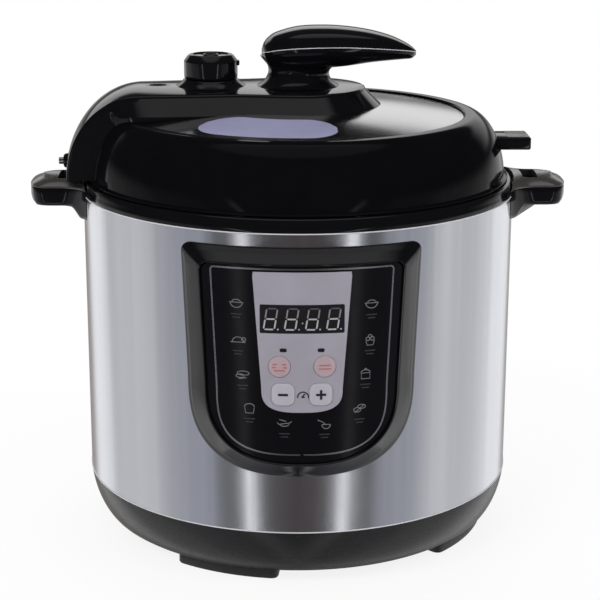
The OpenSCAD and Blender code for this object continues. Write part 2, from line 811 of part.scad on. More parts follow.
module centre_plate() {
    color([0.6, 0.58, 0.66]) difference() {
        on_front(centre_line, face_r, face_r + plate_film);
        panel_cuts(face_r - 8);
    }
}

module display_lens() {
    color([0.08, 0.08, 0.1, 0.8])
        on_front(rounded(window_w - 2 * seat_gap, window_h - 2 * seat_gap, 0.5, window_at),
                 face_back, face_r + plate_film);
}

module led_display() {
    front = face_back - 3.2;
    color([0.85, 0.85, 0.88])
        translate([-window_w / 2 + 2, -front, window_z - window_h / 2 + 1])
            cube([window_w - 4, front - board_front, window_h - 2]);
}

module indicator_lamps() {
    color([0.08, 0.08, 0.1]) for (s = [-1, 1])
        on_front(lamp_line(s, shaft_gap), board_front + 1, face_r + plate_film);
}

module control_board() {
    color([0.1, 0.36, 0.2]) difference() {
        translate([-board_w / 2, -board_front, board_low]) cube([board_w, board_t, board_h]);
        for (at = board_screws) translate([at[0], 0, at[1]])
            rotate([90, 0, 0]) cylinder(r = board_screw_r + 0.1, h = panel_reach);
    }
}

module tact_switches() {
    height = button_rear - button_travel - seat_gap - board_front;
    color([0.2, 0.2, 0.22]) for (at = [cancel_at, timer_at, minus_at, plus_at])
        translate([at[0] - 3, -board_front - height, at[1] - 3]) cube([6, height, 6]);
}

module panel_screws() {
    color("silver") for (at = board_screws)
        translate([at[0], -board_front + board_t, at[1]]) rotate([90, 0, 0]) {
            cylinder(r = board_screw_r - shaft_gap, h = board_t + 4);
            translate([0, 0, -1.5]) cylinder(r = 2.6, h = 1.5);
        }
}

button_front = face_r + 1.2;
module round_button(at) {
    color([0.85, 0.8, 0.82]) translate([at[0], -button_rear, at[1]]) rotate([90, 0, 0])
        cylinder(r = round_button_d / 2, h = button_front - button_rear);
}
module square_button(at) {
    color([0.82, 0.81, 0.86])
        slab_y(rounded(square_button_w, square_button_w, 4, at), -button_front, -button_rear);
}
module cancel_button() { round_button(cancel_at); }
module timer_button() { round_button(timer_at); }
module minus_button() { square_button(minus_at); }
module plus_button() { square_button(plus_at); }

// ---------- lid: seal ----------

module seal_plate() {
    color([0.75, 0.75, 0.77]) difference() {
        translate([0, 0, plate_z]) cylinder(r = gasket_in + 1.4, h = plate_t);
        translate([0, 0, plate_z - 1]) cylinder(r = grommet_groove, h = plate_t + 2);
        for (a = [0:45:315]) rotate([0, 0, a]) translate([plate_vent_ring, 0, plate_z - 1])
            cylinder(r = 3, h = plate_t + 2);
    }
}

module sealing_gasket() {
    mid = (gasket_z + gasket_top) / 2;
    color([0.86, 0.86, 0.84]) lathe([
        [gasket_in, gasket_z + 1], [gasket_in + 1.4, gasket_z], [gasket_out - 3, gasket_z],
        [gasket_out, gasket_z + 2.4], [gasket_out - 2.6, mid], [gasket_out, gasket_top - 2.4],
        [gasket_out - 3, gasket_top], [gasket_in + 1.4, gasket_top], [gasket_in, gasket_top - 1],
        [gasket_in, plate_z + plate_t + 0.1], [gasket_in + 1.6, plate_z + plate_t + 0.1],
        [gasket_in + 1.6, plate_z - 0.1], [gasket_in, plate_z - 0.1]
    ]);
}

module centre_grommet() {
    bore = stud_shaft_r + shaft_gap;
    color([0.8, 0.8, 0.78]) lathe([
        [bore, plate_z - 1.5], [grommet_out, plate_z - 1.5], [grommet_out, plate_z],
        [grommet_groove, plate_z], [grommet_groove, plate_z + plate_t], [grommet_out, plate_z + plate_t],
        [grommet_out, plate_z + plate_t + 2], [bore, plate_z + plate_t + 2]
    ]);
}

// ---------- lid: structure ----------

function crown_path(lift, r_end) = [for (i = [0:12]) [r_end * i / 12, crown_z(r_end * i / 12) + lift]];
function ring_side() = [
    for (q = quarter(ring_side_r - ring_top_r, ring_top - bridge_drop_z, ring_power, 14))
        [ring_top_r + q[0], bridge_drop_z + q[1]]
];
ring_wall = cover_wall - 0.4;
ring_bend = concat(
    [[mouth_r - 0.5, mouth_z + seat_gap], [mouth_r + 1, ring_top - 0.2], [mouth_r + 3, ring_top]],
    ring_side()
);
ring_path = concat(ring_bend, [[ring_base_r, ring_base_z]]);

// Everything below the lid's outer surface, grown by a gap
module lid_envelope(gap) {
    lathe(concat(
        [for (p = crown_path(gap, mouth_r - 0.6)) p],
        [for (p = inset_path(ring_path, -gap)) p],
        [[ring_base_r + gap, 0], [0, 0]]
    ));
}

module lid_plate() {
    outer = concat(
        crown_path(0, mouth_r),
        [[mouth_r + 3.6, mouth_z - 2.4], [mouth_r + 6, mouth_z - 6], [drum_r, mouth_z - 12],
         [drum_r, step_z], [skirt_r, step_z], [skirt_r, skirt_z]]
    );
    color([0.8, 0.8, 0.82]) difference() {
        union() {
            lathe(concat(outer, flip(inset_path(outer, lid_sheet))));
            for (k = [0:teeth - 1])
                sector(lid_tooth_in, skirt_in + 0.2, skirt_z, lid_tooth_t,
                       first_tooth + tooth_pitch * (k + 0.5), tooth_span);
        }
        translate([-valve_x, 0, step_z]) cylinder(r = pipe_r + seat_gap, h = 60);
        translate([-float_x, 0, step_z]) cylinder(r = float_shaft_r + 0.15, h = 60);
        for (a = [0:120:240]) rotate([0, 0, a]) translate([lid_screw_ring, 0, step_z])
            cylinder(r = screw_r, h = 60);
    }
}

module lid_ring() {
    color([0.04, 0.04, 0.045]) union() {
        difference() {
            lathe(concat(
                ring_path, [[ring_side_r - ring_wall, ring_base_z]], flip(inset_path(ring_side(), ring_wall)),
                [[mouth_r + 2.4, mouth_z - 1.3], [mouth_r + 0.1, mouth_z + seat_gap]]
            ));
            translate([-ring_base_r - 1, 0, rod_z]) rotate([0, 90, 0])
                cylinder(r = rod_collar_r + move_gap, h = ring_base_r - skirt_r);
        }
        difference() {
            translate([ring_side_r - 12, -fin_w / 2, fin_z]) cube([fin_reach - ring_side_r + 12, fin_w, fin_t]);
            lid_envelope(-1);
        }
    }
}

// Outer form of the bridge: a spine that runs from the turret over the rim
module bridge_form(cut) {
    low = 0;
    fold = [for (q = flip(quarter(bridge_fold - cut, bridge_top - bridge_drop_z - cut, 2, 12)))
        [-bridge_reach + bridge_fold - q[0], bridge_drop_z + q[1]]];
    side = concat(
        [[0, low], [-bridge_reach + cut, low]], fold,
        [[0, bridge_top - cut]]
    );
    base_half = bridge_half_w + 9.5 - cut;
    union() {
        intersection() {
            slab_y(side, -80, 80);
            rotate([90, 0, 90]) translate([0, 0, -bridge_reach - 1]) linear_extrude(2 * bridge_reach) polygon([
                [-base_half, low], [-base_half, apex_z], [-bridge_half_w + cut, bridge_top],
                [bridge_half_w - cut, bridge_top], [base_half, apex_z], [base_half, low]
            ]);
            linear_extrude(bridge_top + 1) polygon([
                [1, -base_half - 1], [-taper_start, -base_half - 1], [-taper_end, -bridge_rim_w + cut],
                [-bridge_reach + 3, -bridge_rim_w + 3 + cut], [-bridge_reach, -bridge_rim_w + 7 + cut],
                [-bridge_reach, bridge_rim_w - 7 - cut], [-bridge_reach + 3, bridge_rim_w - 3 - cut],
                [-taper_end, bridge_rim_w - cut], [-taper_start, base_half + 1], [1, base_half + 1]
            ]);
        }
        translate([0, 0, apex_z - 4])
            cylinder(r1 = turret_base_r + 2 - cut, r2 = turret_r - cut, h = bridge_top - apex_z + 4 - cut);
    }
}

lid_screw_ring = 11;
label_gap = 0.15;
label_t = 0.4;

module lid_bridge() {
    color([0.05, 0.05, 0.055]) difference() {
        union() {
            difference() {
                bridge_form(0);
                bridge_form(cover_wall - 0.4);
            }
            translate([-valve_x, 0, bridge_top - 1])
                cylinder(r1 = knob_r + 6, r2 = knob_r + 1.4, h = collar_rise + 1);
            translate([-bridge_reach - 1.6, 0, rod_z]) rotate([0, 90, 0]) cylinder(r = rod_r + 2.6, h = 4);
            for (a = [0:120:240]) rotate([0, 0, a]) translate([lid_screw_ring, 0, apex_z - 2])
                cylinder(r = screw_r + 2, h = bridge_rise + 1);
        }
        lid_envelope(seat_gap);
        translate([0, 0, -1]) cylinder(r = 2 * bridge_reach, h = bridge_low_z + 1);
        translate([-valve_x, 0, 0]) cylinder(r = pipe_r + 1, h = 2 * bridge_top);
        translate([-valve_x, 0, bridge_top - 6]) cylinder(r = weight_r + 2, h = 20);
        translate([-float_x, 0, 0]) cylinder(r = float_head_r + 0.3, h = 2 * bridge_top);
        for (a = [0:120:240]) rotate([0, 0, a]) translate([lid_screw_ring, 0, 0])
            cylinder(r = screw_r, h = 2 * bridge_top);
        translate([-bridge_reach - 10, 0, rod_z]) rotate([0, 90, 0]) cylinder(r = rod_r + shaft_gap, h = 14);
    }
}

module lid_stud() {
    top = apex_z - lid_sheet - 0.1;
    low = plate_z - 1.5 - move_gap - 2.4;
    color([0.7, 0.7, 0.72]) union() {
        translate([0, 0, low]) cylinder(r = stud_shaft_r + 1.2, h = 2.4);
        translate([0, 0, low]) cylinder(r = stud_shaft_r, h = top - low);
    }
}

module lid_screws() {
    low = crown_z(lid_screw_ring + head_r) - lid_sheet - 0.2 - head_h;
    color("silver") for (a = [0:120:240]) rotate([0, 0, a]) translate([lid_screw_ring, 0, 0]) {
        translate([0, 0, low]) cylinder(r = head_r - 0.6, h = head_h);
        translate([0, 0, low]) cylinder(r = screw_r - shaft_gap, h = bridge_top + 8 - low);
    }
}

// A plain oval plate on the crown, in front of the bridge
module blank_label() {
    r0 = 80;
    half_w = 14;
    a0 = -130;
    a1 = -86;
    radii = [for (i = [-1:0.5:1]) r0 + i * (half_w + 2)];
    function at(r, a) = [r * cos(a), r * sin(a)];
    function end(a, side) = [
        for (q = [15:15:165]) at(r0, a) + half_w * [cos(a + side * q), sin(a + side * q)]
    ];
    outline = concat(
        [for (a = [a0:4:a1]) at(r0 + half_w, a)], end(a1, 1),
        flip([for (a = [a0:4:a1]) at(r0 - half_w, a)]), flip(end(a0, -1))
    );
    color([0.66, 0.64, 0.76]) intersection() {
        lathe(concat(
            [for (r = radii) [r, crown_z(r) + label_gap]],
            flip([for (r = radii) [r, crown_z(r) + label_gap + label_t]])
        ));
        translate([0, 0, seam_z]) linear_extrude(60) polygon(outline);
    }
}

// ---------- grip ----------

// Half of the grip's section at one station, from edge to edge over the middle
function grip_arc(row, end) = [
    for (a = [0:15:180])
        [row[0], -row[1] * sign(cos(a)) * pow(abs(cos(a)), 0.75),
         seam_line + row[3] + (row[end] - row[3]) * pow(sin(a), 0.85)]
];
grip_mid = [for (i = [2:len(grip_rows) - 4]) grip_rows[i]];

// The hollow in one half of the grip, carried past the parting line
module grip_hollow(end) {
    up = sign(grip_mid[0][end] - grip_mid[0][3]);
    edge = [for (row = grip_mid) [row[0], row[1] * hollow_share]];
    intersection() {
        translate([0, 0, bridge_top]) linear_extrude(60)
            polygon(concat([for (p = edge) [p[0], -p[1]]], flip(edge)));
        slab_y(concat(
            [for (row = grip_mid) [row[0], seam_line + row[3] - up]],
            flip([for (row = grip_mid) [row[0], seam_line + row[3] + (row[end] - row[3]) * hollow_share]])
        ), -40, 40);
    }
}

module grip_upper() {
    color([0.06, 0.055, 0.06]) translate([0, 0, seat_gap]) difference() {
        loft([for (row = grip_rows) grip_arc(row, 4)]);
        grip_hollow(4);
    }
}

module grip_lower() {
    color([0.06, 0.055, 0.06]) difference() {
        loft([for (row = grip_rows) flip(grip_arc(row, 2))]);
        grip_hollow(2);
        translate([0, 0, bridge_top]) cylinder(r = column_r - 1 + seat_gap, h = column_top - bridge_top + seat_gap);
    }
}

module grip_column() {
    foot = column_r + 7;
    color([0.06, 0.055, 0.06]) difference() {
        lathe([
            [0, bridge_top + 0.1], [foot, bridge_top + 0.1], [foot - 1, bridge_top + 1],
            [foot - 4.2, bridge_top + 4], [column_r + 0.6, bridge_top + 8], [column_r, bridge_top + 11],
            [column_r - 1, bridge_top + 11.3], [column_r - 1, column_top], [0, column_top]
        ]);
        for (a = [0:120:240]) rotate([0, 0, a]) translate([lid_screw_ring, 0, bridge_top - 1])
            cylinder(r = screw_r, h = 11);
    }
}

// ---------- valves ----------

module steam_pipe() {
    seat = crown_z(valve_x + 8) - lid_sheet - 0.1;
    color([0.72, 0.72, 0.74]) translate([-valve_x, 0, 0]) difference() {
        union() {
            translate([0, 0, pipe_low]) cylinder(r = pipe_r, h = pipe_top - pipe_low);
            translate([0, 0, seat - 2.4]) cylinder(r = pipe_r + 3.6, h = 2.4);
        }
        translate([0, 0, pipe_low - 1]) cylinder(r = 1.6, h = 80);
    }
}

module pipe_nut() {
    color([0.72, 0.72, 0.74]) translate([-valve_x, 0, crown_z(valve_x - 7) + 0.1]) difference() {
        cylinder(r = 7, h = 4, $fn = 6);
        translate([0, 0, -1]) cylinder(r = pipe_r + shaft_gap, h = 6);
    }
}

module steam_guard() {
    wall = 0.8;
    color([0.72, 0.72, 0.74]) translate([-valve_x, 0, pipe_low - 3]) difference() {
        cylinder(r = pipe_r + 5, h = 11);
        translate([0, 0, -1]) cylinder(r = pipe_r + 5 - wall, h = 12 - wall);
        translate([0, 0, -1]) cylinder(r = pipe_r + shaft_gap, h = 14);
        for (a = [0:45:315]) rotate([0, 0, a]) translate([pipe_r + 3, -1, 2]) cube([4, 2, 6]);
    }
}

module valve_knob() {
    color([0.05, 0.05, 0.055]) translate([-valve_x, 0, 0]) lathe([
        [weight_r + 0.1, knob_z], [knob_r - 0.8, knob_z], [knob_r - 0.8, knob_z + knob_h - 5],
        [knob_r, knob_z + knob_h - 4.4], [knob_r, knob_z + knob_h - 2], [knob_r - 2, knob_z + knob_h],
        [4, knob_z + knob_h], [3.6, knob_z + knob_h - 2], [0, knob_z + knob_h - 2],
        [0, weight_top], [weight_r + 0.1, weight_top]
    ]);
}

module valve_weight() {
    color([0.7, 0.7, 0.72]) translate([-valve_x, 0, 0]) difference() {
        translate([0, 0, knob_z - 0.3]) cylinder(r = weight_r, h = weight_top - knob_z + 0.3);
        translate([0, 0, 0]) cylinder(r = pipe_r + shaft_gap, h = pipe_top + move_gap);
    }
}

module float_pin() {
    head_z = crown_z(float_x - float_head_r) + 0.3;
    flange_z0 = float_seal_top - 5;
    color([0.75, 0.08, 0.06]) translate([-float_x, 0, 0]) union() {
        translate([0, 0, head_z]) cylinder(r = float_head_r, h = bridge_top - 2.4 - head_z);
        translate([0, 0, flange_z0]) cylinder(r = float_shaft_r, h = head_z + 1 - flange_z0);
        translate([0, 0, flange_z0]) cylinder(r = float_flange_r, h = 2);
    }
}

module float_seal() {
    color([0.85, 0.85, 0.83]) translate([-float_x, 0, float_seal_top - 3]) difference() {
        cylinder(r = float_seal_r, h = 3);
        translate([0, 0, -1]) cylinder(r = float_shaft_r + shaft_gap, h = 5);
    }
}

module push_pin() {
    inner = bridge_reach - cover_wall - 1;
    color([0.6, 0.6, 0.62]) union() {
        translate([-rod_tip, 0, rod_z]) rotate([0, 90, 0]) cylinder(r = rod_r, h = rod_tip - inner + 3);
        translate([-inner, 0, rod_z]) rotate([0, 90, 0]) cylinder(r = rod_collar_r, h = 1.6);
    }
}

base_tray();
rubber_feet();
base_screws();
steel_shell();
collar();
handle_body_left();
handle_cap_left();
handle_body_right();
handle_cap_right();
handle_screws();
pressure_vessel();
heater_plate();
sensor_spring();
power_board();
power_parts();
ribbon_cable();
inlet_socket();
inlet_pins();
cup_bracket();
panel_bezel();
panel_face();
panel_trim();
centre_plate();
display_lens();
led_display();
indicator_lamps();
control_board();
tact_switches();
panel_screws();
inner_pot();
temperature_sensor();
condensation_cup();
cancel_button();
timer_button();
minus_button();
plus_button();
seal_plate();
sealing_gasket();
centre_grommet();
lid_plate();
lid_ring();
lid_bridge();
lid_stud();
lid_screws();
blank_label();
grip_column();
grip_lower();
grip_upper();
steam_pipe();
pipe_nut();
steam_guard();
valve_knob();
valve_weight();
float_pin();
float_seal();
push_pin();
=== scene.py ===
"""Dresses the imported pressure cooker: smooth covers, brushed steel, printed panel and a plain studio."""

import logging
import math
from collections.abc import Callable, Iterable, Sequence
from dataclasses import dataclass
from enum import Enum

import bmesh
import bpy
import numpy as np
from mathutils import Euler, Matrix, Vector


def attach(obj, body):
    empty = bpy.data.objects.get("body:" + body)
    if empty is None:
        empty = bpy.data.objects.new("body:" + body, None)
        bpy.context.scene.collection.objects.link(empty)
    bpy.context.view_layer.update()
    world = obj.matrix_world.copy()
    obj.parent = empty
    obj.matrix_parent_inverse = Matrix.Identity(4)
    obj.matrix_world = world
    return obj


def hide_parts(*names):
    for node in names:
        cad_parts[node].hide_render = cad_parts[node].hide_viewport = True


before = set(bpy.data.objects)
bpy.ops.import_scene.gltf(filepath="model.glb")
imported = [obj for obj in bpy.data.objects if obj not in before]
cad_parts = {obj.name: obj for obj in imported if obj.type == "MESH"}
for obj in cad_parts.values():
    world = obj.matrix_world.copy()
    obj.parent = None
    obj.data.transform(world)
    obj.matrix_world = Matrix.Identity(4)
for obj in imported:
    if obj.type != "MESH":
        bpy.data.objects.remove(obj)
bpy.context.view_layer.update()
LOG = logging.getLogger("cooker")
MM = 0.001
COPY_MERGE = 0.004 * MM
FLAT_ANGLE = 1.0
Point2 = tuple[float, float]
Point3 = tuple[float, float, float]
Colour = tuple[float, float, float]
Socket = bpy.types.NodeSocket
Feed = dict[str | int, object]
WHITE = (1.0, 1.0, 1.0)
BLACK = (0.0, 0.0, 0.0)
NOISE_MIDDLE = (0.3, 0.7)
VALVE_X = -57.5
FLOAT_X = -92.6


# ---------------------------------------------------------------- materials


class Grain(Enum):
    """How a surface's fine marks run."""

    FINE = "fine"
    AROUND = "around"
    RADIAL = "radial"


class Wiring:
    """A node tree with short calls that add, set and join its nodes."""

    def __init__(self, tree: bpy.types.NodeTree) -> None:
        """Takes a tree over and empties it.

        Args:
            tree: The tree.
        """
        self.tree = tree
        tree.nodes.clear()

    def feed(self, node: bpy.types.Node, inputs: Feed) -> None:
        """Joins sockets to a node's inputs or sets their values."""
        for slot, value in inputs.items():
            if isinstance(value, Socket):
                self.tree.links.new(value, node.inputs[slot])
            else:
                node.inputs[slot].default_value = value

    def node(
        self, kind: str, inputs: Feed | None = None, family: str = "Shader", **settings: object
    ) -> bpy.types.Node:
        """Adds a node.

        Args:
            kind: The node's type after its family's name.
            inputs: Sockets or values for its inputs.
            family: Shader or Geometry.
            settings: Properties of the node.

        Returns:
            The new node.
        """
        made = self.tree.nodes.new(f"{family}Node{kind}")
        for key, value in settings.items():
            setattr(made, key, value)
        self.feed(made, inputs or {})
        return made

    def math(self, operation: str, *values: object) -> Socket:
        """The result of a sum on sockets and numbers."""
        return self.node("Math", dict(enumerate(values)), operation=operation).outputs[0]

    def mapped(
        self, value: Socket, source: Point2, target: Point2 = (0.0, 1.0), kind: str = "LINEAR"
    ) -> Socket:
        """A value taken from one range to another.

        Args:
            value: The value.
            source: Where the range starts and ends.
            target: What its start and end become.
            kind: LINEAR or SMOOTHSTEP.

        Returns:
            The mapped value.
        """
        inputs = {"Value": value}
        inputs |= zip(("From Min", "From Max", "To Min", "To Max"), (*source, *target))
        return self.node("MapRange", inputs, interpolation_type=kind).outputs["Result"]

    def ramp(self, value: Socket, stops: Iterable[tuple[float, Colour]]) -> Socket:
        """A colour read from a ramp.

        Args:
            value: Where the ramp is read.
            stops: Position and colour of each stop, from the lowest.

        Returns:
            The colour.
        """
        made = self.node("ValToRGB", {0: value})
        marks = made.color_ramp.elements
        marks.remove(marks[-1])
        for i, (where, colour) in enumerate(stops):
            mark = marks[0] if i == 0 else marks.new(where)
            mark.position = where
            mark.color = (*colour, 1.0)
        return made.outputs["Color"]


class Shader(Wiring):
    """A material's node tree around a Principled surface."""

    def __init__(self, name: str) -> None:
        """Starts a material.

        Args:
            name: The material's name.
        """
        self.material = bpy.data.materials.new(name)
        self.material.use_nodes = True
        super().__init__(self.material.node_tree)
        self.surface = self.node("BsdfPrincipled")
        self.output = self.node("OutputMaterial", {"Surface": self.surface.outputs[0]})
        self.place = self.node("TexCoord").outputs["Object"]

    def scaled_place(self, scale: Point3) -> Socket:
        """Object coordinates stretched by repeats per metre along x, y and z."""
        return self.node("Mapping", {"Scale": scale, "Vector": self.place}).outputs["Vector"]

    def around_place(self, turn: float, rise: float, spread: float) -> Socket:
        """Cylindrical coordinates about the body's axis: angle, radius and height.

        Args:
            turn: Scale of the angle.
            rise: Scale of the height.
            spread: Scale of the radius.

        Returns:
            A vector of the scaled angle, radius and height.
        """
        x, y, z = self.node("SeparateXYZ", {0: self.place}).outputs
        flat = self.node("CombineXYZ", {"X": x, "Y": y}).outputs[0]
        radius = self.node("VectorMath", {0: flat}, operation="LENGTH").outputs["Value"]
        scaled = {
            "X": self.math("MULTIPLY", self.math("ARCTAN2", y, x), turn),
            "Y": self.math("MULTIPLY", radius, spread),
            "Z": self.math("MULTIPLY", z, rise),
        }
        return self.node("CombineXYZ", scaled).outputs[0]

    def noise(self, place: Socket, scale: float, detail: float = 3.0, roughness: float = 0.5) -> Socket:
        """Noise read at a place.

        Args:
            place: Coordinates to read.
            scale: The noise's scale.
            detail: Octaves of the noise.
            roughness: How strong the fine octaves are.

        Returns:
            The noise's factor.
        """
        inputs = {"Scale": scale, "Detail": detail, "Roughness": roughness, "Vector": place}
        return self.node("TexNoise", inputs).outputs["Fac"]

    def spread(self, factor: Socket, low: float, high: float) -> Socket:
        """A noise's middle range mapped to a low and a high value."""
        return self.mapped(factor, NOISE_MIDDLE, (low, high))

    def blend(self, factor: Socket, first: Colour, second: Colour) -> Socket:
        """Two colours mixed by a factor, which is 0 for the first of them."""
        inputs = {0: factor, 6: (*first, 1.0), 7: (*second, 1.0)}
        return self.node("Mix", inputs, data_type="RGBA").outputs[2]

    def bump(self, height: Socket, depth: float, strength: float = 1.0) -> None:
        """Joins a height to the surface's normal.

        Args:
            height: The height from 0 to 1.
            depth: Depth in metres.
            strength: How strongly the bump turns the normal.
        """
        made = self.node("Bump", {"Distance": depth, "Strength": strength, "Height": height})
        self.feed(self.surface, {"Normal": made.outputs[0]})


@dataclass(frozen=True)
class MouldedPlastic:
    """Injection-moulded plastic, polished or satin, with a faint flow in its gloss."""

    name: str
    colour: Colour
    roughness: float
    haze: float = 0.03
    grain_depth: float = 0.00001
    grain_scale: float = 900.0
    coat: float = 0.0
    see_through: float = 0.0
    shine: float = 0.5

    def material(self) -> bpy.types.Material:
        """Builds the material."""
        made = Shader(self.name)
        low = tuple(c * 0.82 for c in self.colour)
        high = tuple(min(1.0, c * 1.14 + 0.0005) for c in self.colour)
        flow = made.noise(made.place, 38.0, 4.0, 0.55)
        wear = made.noise(made.scaled_place((60.0, 60.0, 140.0)), 3.0, 6.0, 0.6)
        smoothest = max(0.02, self.roughness - self.haze)
        made.feed(
            made.surface,
            {
                "Base Color": made.blend(flow, low, high),
                "Roughness": made.spread(wear, smoothest, self.roughness + self.haze),
                "Specular IOR Level": self.shine,
                "Coat Weight": self.coat,
                "Coat Roughness": 0.04,
                "Transmission Weight": self.see_through,
            },
        )
        made.bump(made.noise(made.place, self.grain_scale, 2.0), self.grain_depth, 0.6)
        return made.material


@dataclass(frozen=True)
class WorkedMetal:
    """Metal with brushed, turned or cast marks."""

    name: str
    colour: Colour
    roughness: float
    grain: Grain
    stretch: float = 0.0
    mark_depth: float = 0.000004
    stain: float = 0.06
    lay: float = 0.0

    def material(self) -> bpy.types.Material:
        """Builds the material."""
        made = Shader(self.name)
        if self.grain is Grain.AROUND:
            place = made.around_place(1.6, 2400.0, 0.0)
        elif self.grain is Grain.RADIAL:
            place = made.around_place(2.2, 0.0, 1500.0)
        else:
            place = made.scaled_place((700.0, 700.0, 700.0))
        marks = made.noise(place, 1.0, 3.0, 0.65)
        clouds = made.noise(made.place, 16.0, 4.0, 0.5)
        wear = made.math("MULTIPLY", made.math("ADD", marks, clouds), 0.5)
        low = tuple(c * (1.0 - self.stain) for c in self.colour)
        high = tuple(min(1.0, c * (1.0 + self.stain)) for c in self.colour)
        made.feed(
            made.surface,
            {
                "Metallic": 1.0,
                "Anisotropic": self.stretch,
                "Anisotropic Rotation": self.lay,
                "Base Color": made.blend(marks, low, high),
                "Roughness": made.spread(wear, self.roughness * 0.82, self.roughness * 1.2),
            },
        )
        if self.stretch:
            tangent = made.node("Tangent", direction_type="RADIAL", axis="Z")
            made.feed(made.surface, {"Tangent": tangent.outputs[0]})
        made.bump(marks, self.mark_depth, 0.5)
        return made.material


@dataclass(frozen=True)
class SoftRubber:
    """Matt or translucent moulded rubber."""

    name: str
    colour: Colour
    roughness: float = 0.7
    glow: float = 0.0

    def material(self) -> bpy.types.Material:
        """Builds the material."""
        made = Shader(self.name)
        fine = made.noise(made.place, 420.0, 5.0, 0.6)
        low = tuple(c * 0.75 for c in self.colour)
        made.feed(
            made.surface,
            {
                "Base Color": made.blend(fine, low, self.colour),
                "Roughness": made.spread(fine, self.roughness - 0.08, self.roughness + 0.1),
                "Subsurface Weight": self.glow,
                "Subsurface Radius": (0.004, 0.004, 0.004),
                "Subsurface Scale": 1.0,
            },
        )
        made.bump(fine, 0.00006, 0.7)
        return made.material


@dataclass(frozen=True)
class CircuitBoard:
    """A coated circuit board with faint copper tracks under its lacquer."""

    name: str
    colour: Colour
    track: Colour

    def material(self) -> bpy.types.Material:
        """Builds the material."""
        made = Shader(self.name)
        tracks = {
            "Vector": made.scaled_place((120.0, 120.0, 120.0)),
            "Color1": (*self.colour, 1.0),
            "Color2": (*(c * 0.8 for c in self.colour), 1.0),
            "Mortar": (*self.track, 1.0),
            "Mortar Size": 0.05,
        }
        made.feed(
            made.surface,
            {
                "Base Color": made.node("TexBrick", tracks).outputs["Color"],
                "Roughness": made.spread(made.noise(made.place, 200.0), 0.3, 0.45),
            },
        )
        return made.material


BLACK_GLOSS = MouldedPlastic("polished_black_plastic", (0.0035, 0.0035, 0.0045), 0.07, 0.02, shine=0.3)
RING_GLOSS = MouldedPlastic("lid_ring_black_plastic", (0.003, 0.003, 0.0038), 0.08, 0.02, shine=0.05)
BLACK_SATIN = MouldedPlastic("satin_black_plastic", (0.014, 0.014, 0.0145), 0.26, 0.04, 0.000015, shine=0.35)
CAP_SATIN = MouldedPlastic("satin_handle_plastic", (0.045, 0.042, 0.04), 0.2, 0.04, 0.00003, 700.0, shine=1.0)
PANEL_FILM = MouldedPlastic("printed_black_film", (0.004, 0.004, 0.0055), 0.16, 0.02, shine=0.12)
LAVENDER_FILM = MouldedPlastic("lavender_grey_film", (0.3, 0.285, 0.335), 0.34, 0.04)
LENS_DARK = MouldedPlastic("smoked_lens", (0.01, 0.01, 0.012), 0.08, 0.01)
SEGMENT_PALE = MouldedPlastic("unlit_segments", (0.36, 0.35, 0.36), 0.4, 0.02)
SEGMENT_MID = MouldedPlastic("half_shaded_segments", (0.19, 0.175, 0.185), 0.4, 0.02)
SEGMENT_DIM = MouldedPlastic("shaded_segments", (0.08, 0.06, 0.066), 0.4, 0.02)
ICON_PRINT = MouldedPlastic("grey_icon_ink", (0.17, 0.17, 0.18), 0.4, 0.03)
ICON_FAINT = MouldedPlastic("faint_caption_ink", (0.026, 0.026, 0.03), 0.4, 0.03)
INK_DARK = MouldedPlastic("dark_sign_ink", (0.01, 0.01, 0.012), 0.35, 0.02)
INK_RED = MouldedPlastic("red_caption_ink", (0.42, 0.1, 0.07), 0.4, 0.02)
BUTTON_ROSE = MouldedPlastic("rose_button_film", (0.38, 0.29, 0.32), 0.3, 0.03, coat=0.3)
BUTTON_PALE = MouldedPlastic("pale_button_film", (0.4, 0.385, 0.44), 0.3, 0.03, coat=0.3)
LABEL_FILM = MouldedPlastic("plain_lavender_label", (0.3, 0.3, 0.46), 0.4, 0.04)
FLOAT_RED = MouldedPlastic("red_float_plastic", (0.8, 0.02, 0.03), 0.25, 0.03)
# Pale grey painted on thin beads as a painted highlight where rims and seams catch light; it is not wear.
PAINTED_HIGHLIGHT_EDGE = MouldedPlastic("painted_highlight_edge", (0.62, 0.62, 0.64), 0.25, 0.03)
PARTS_DARK = MouldedPlastic("component_cases", (0.03, 0.03, 0.035), 0.4, 0.05)
CABLE_GREY = MouldedPlastic("ribbon_insulation", (0.3, 0.3, 0.32), 0.5, 0.04)
CUP_CLEAR = MouldedPlastic("clear_cup_plastic", (0.85, 0.87, 0.88), 0.12, 0.02, see_through=0.85)
SHELL_STEEL = WorkedMetal(
    "brushed_body_steel", (0.635, 0.645, 0.69), 0.17, Grain.AROUND, 0.95, 0.0000015, 0.03, 0.25
)
TRIM_SILVER = WorkedMetal("bright_trim_line", (0.34, 0.34, 0.36), 0.3, Grain.FINE)
LID_STEEL = WorkedMetal("bright_lid_steel", (0.62, 0.62, 0.63), 0.16, Grain.RADIAL, 0.2, 0.0000015)
VESSEL_STEEL = WorkedMetal("drawn_vessel_steel", (0.6, 0.6, 0.61), 0.3, Grain.AROUND, 0.5)
POT_STEEL = WorkedMetal("polished_pot_steel", (0.66, 0.66, 0.67), 0.2, Grain.AROUND, 0.5)
TURNED_STEEL = WorkedMetal("turned_bright_steel", (0.6, 0.6, 0.61), 0.22, Grain.FINE)
SCREW_ZINC = WorkedMetal("zinc_plate", (0.55, 0.56, 0.6), 0.35, Grain.FINE)
CAST_METAL = WorkedMetal(
    "cast_aluminium", (0.55, 0.55, 0.56), 0.5, Grain.FINE, mark_depth=0.00004, stain=0.15
)
FOOT_RUBBER = SoftRubber("matt_black_rubber", (0.02, 0.02, 0.021), 0.55)
SILICONE = SoftRubber("translucent_silicone", (0.72, 0.71, 0.67), 0.45, 0.25)
BOARD = CircuitBoard("coated_board", (0.012, 0.11, 0.04), (0.05, 0.24, 0.09))

Finish = MouldedPlastic | WorkedMetal | SoftRubber | CircuitBoard


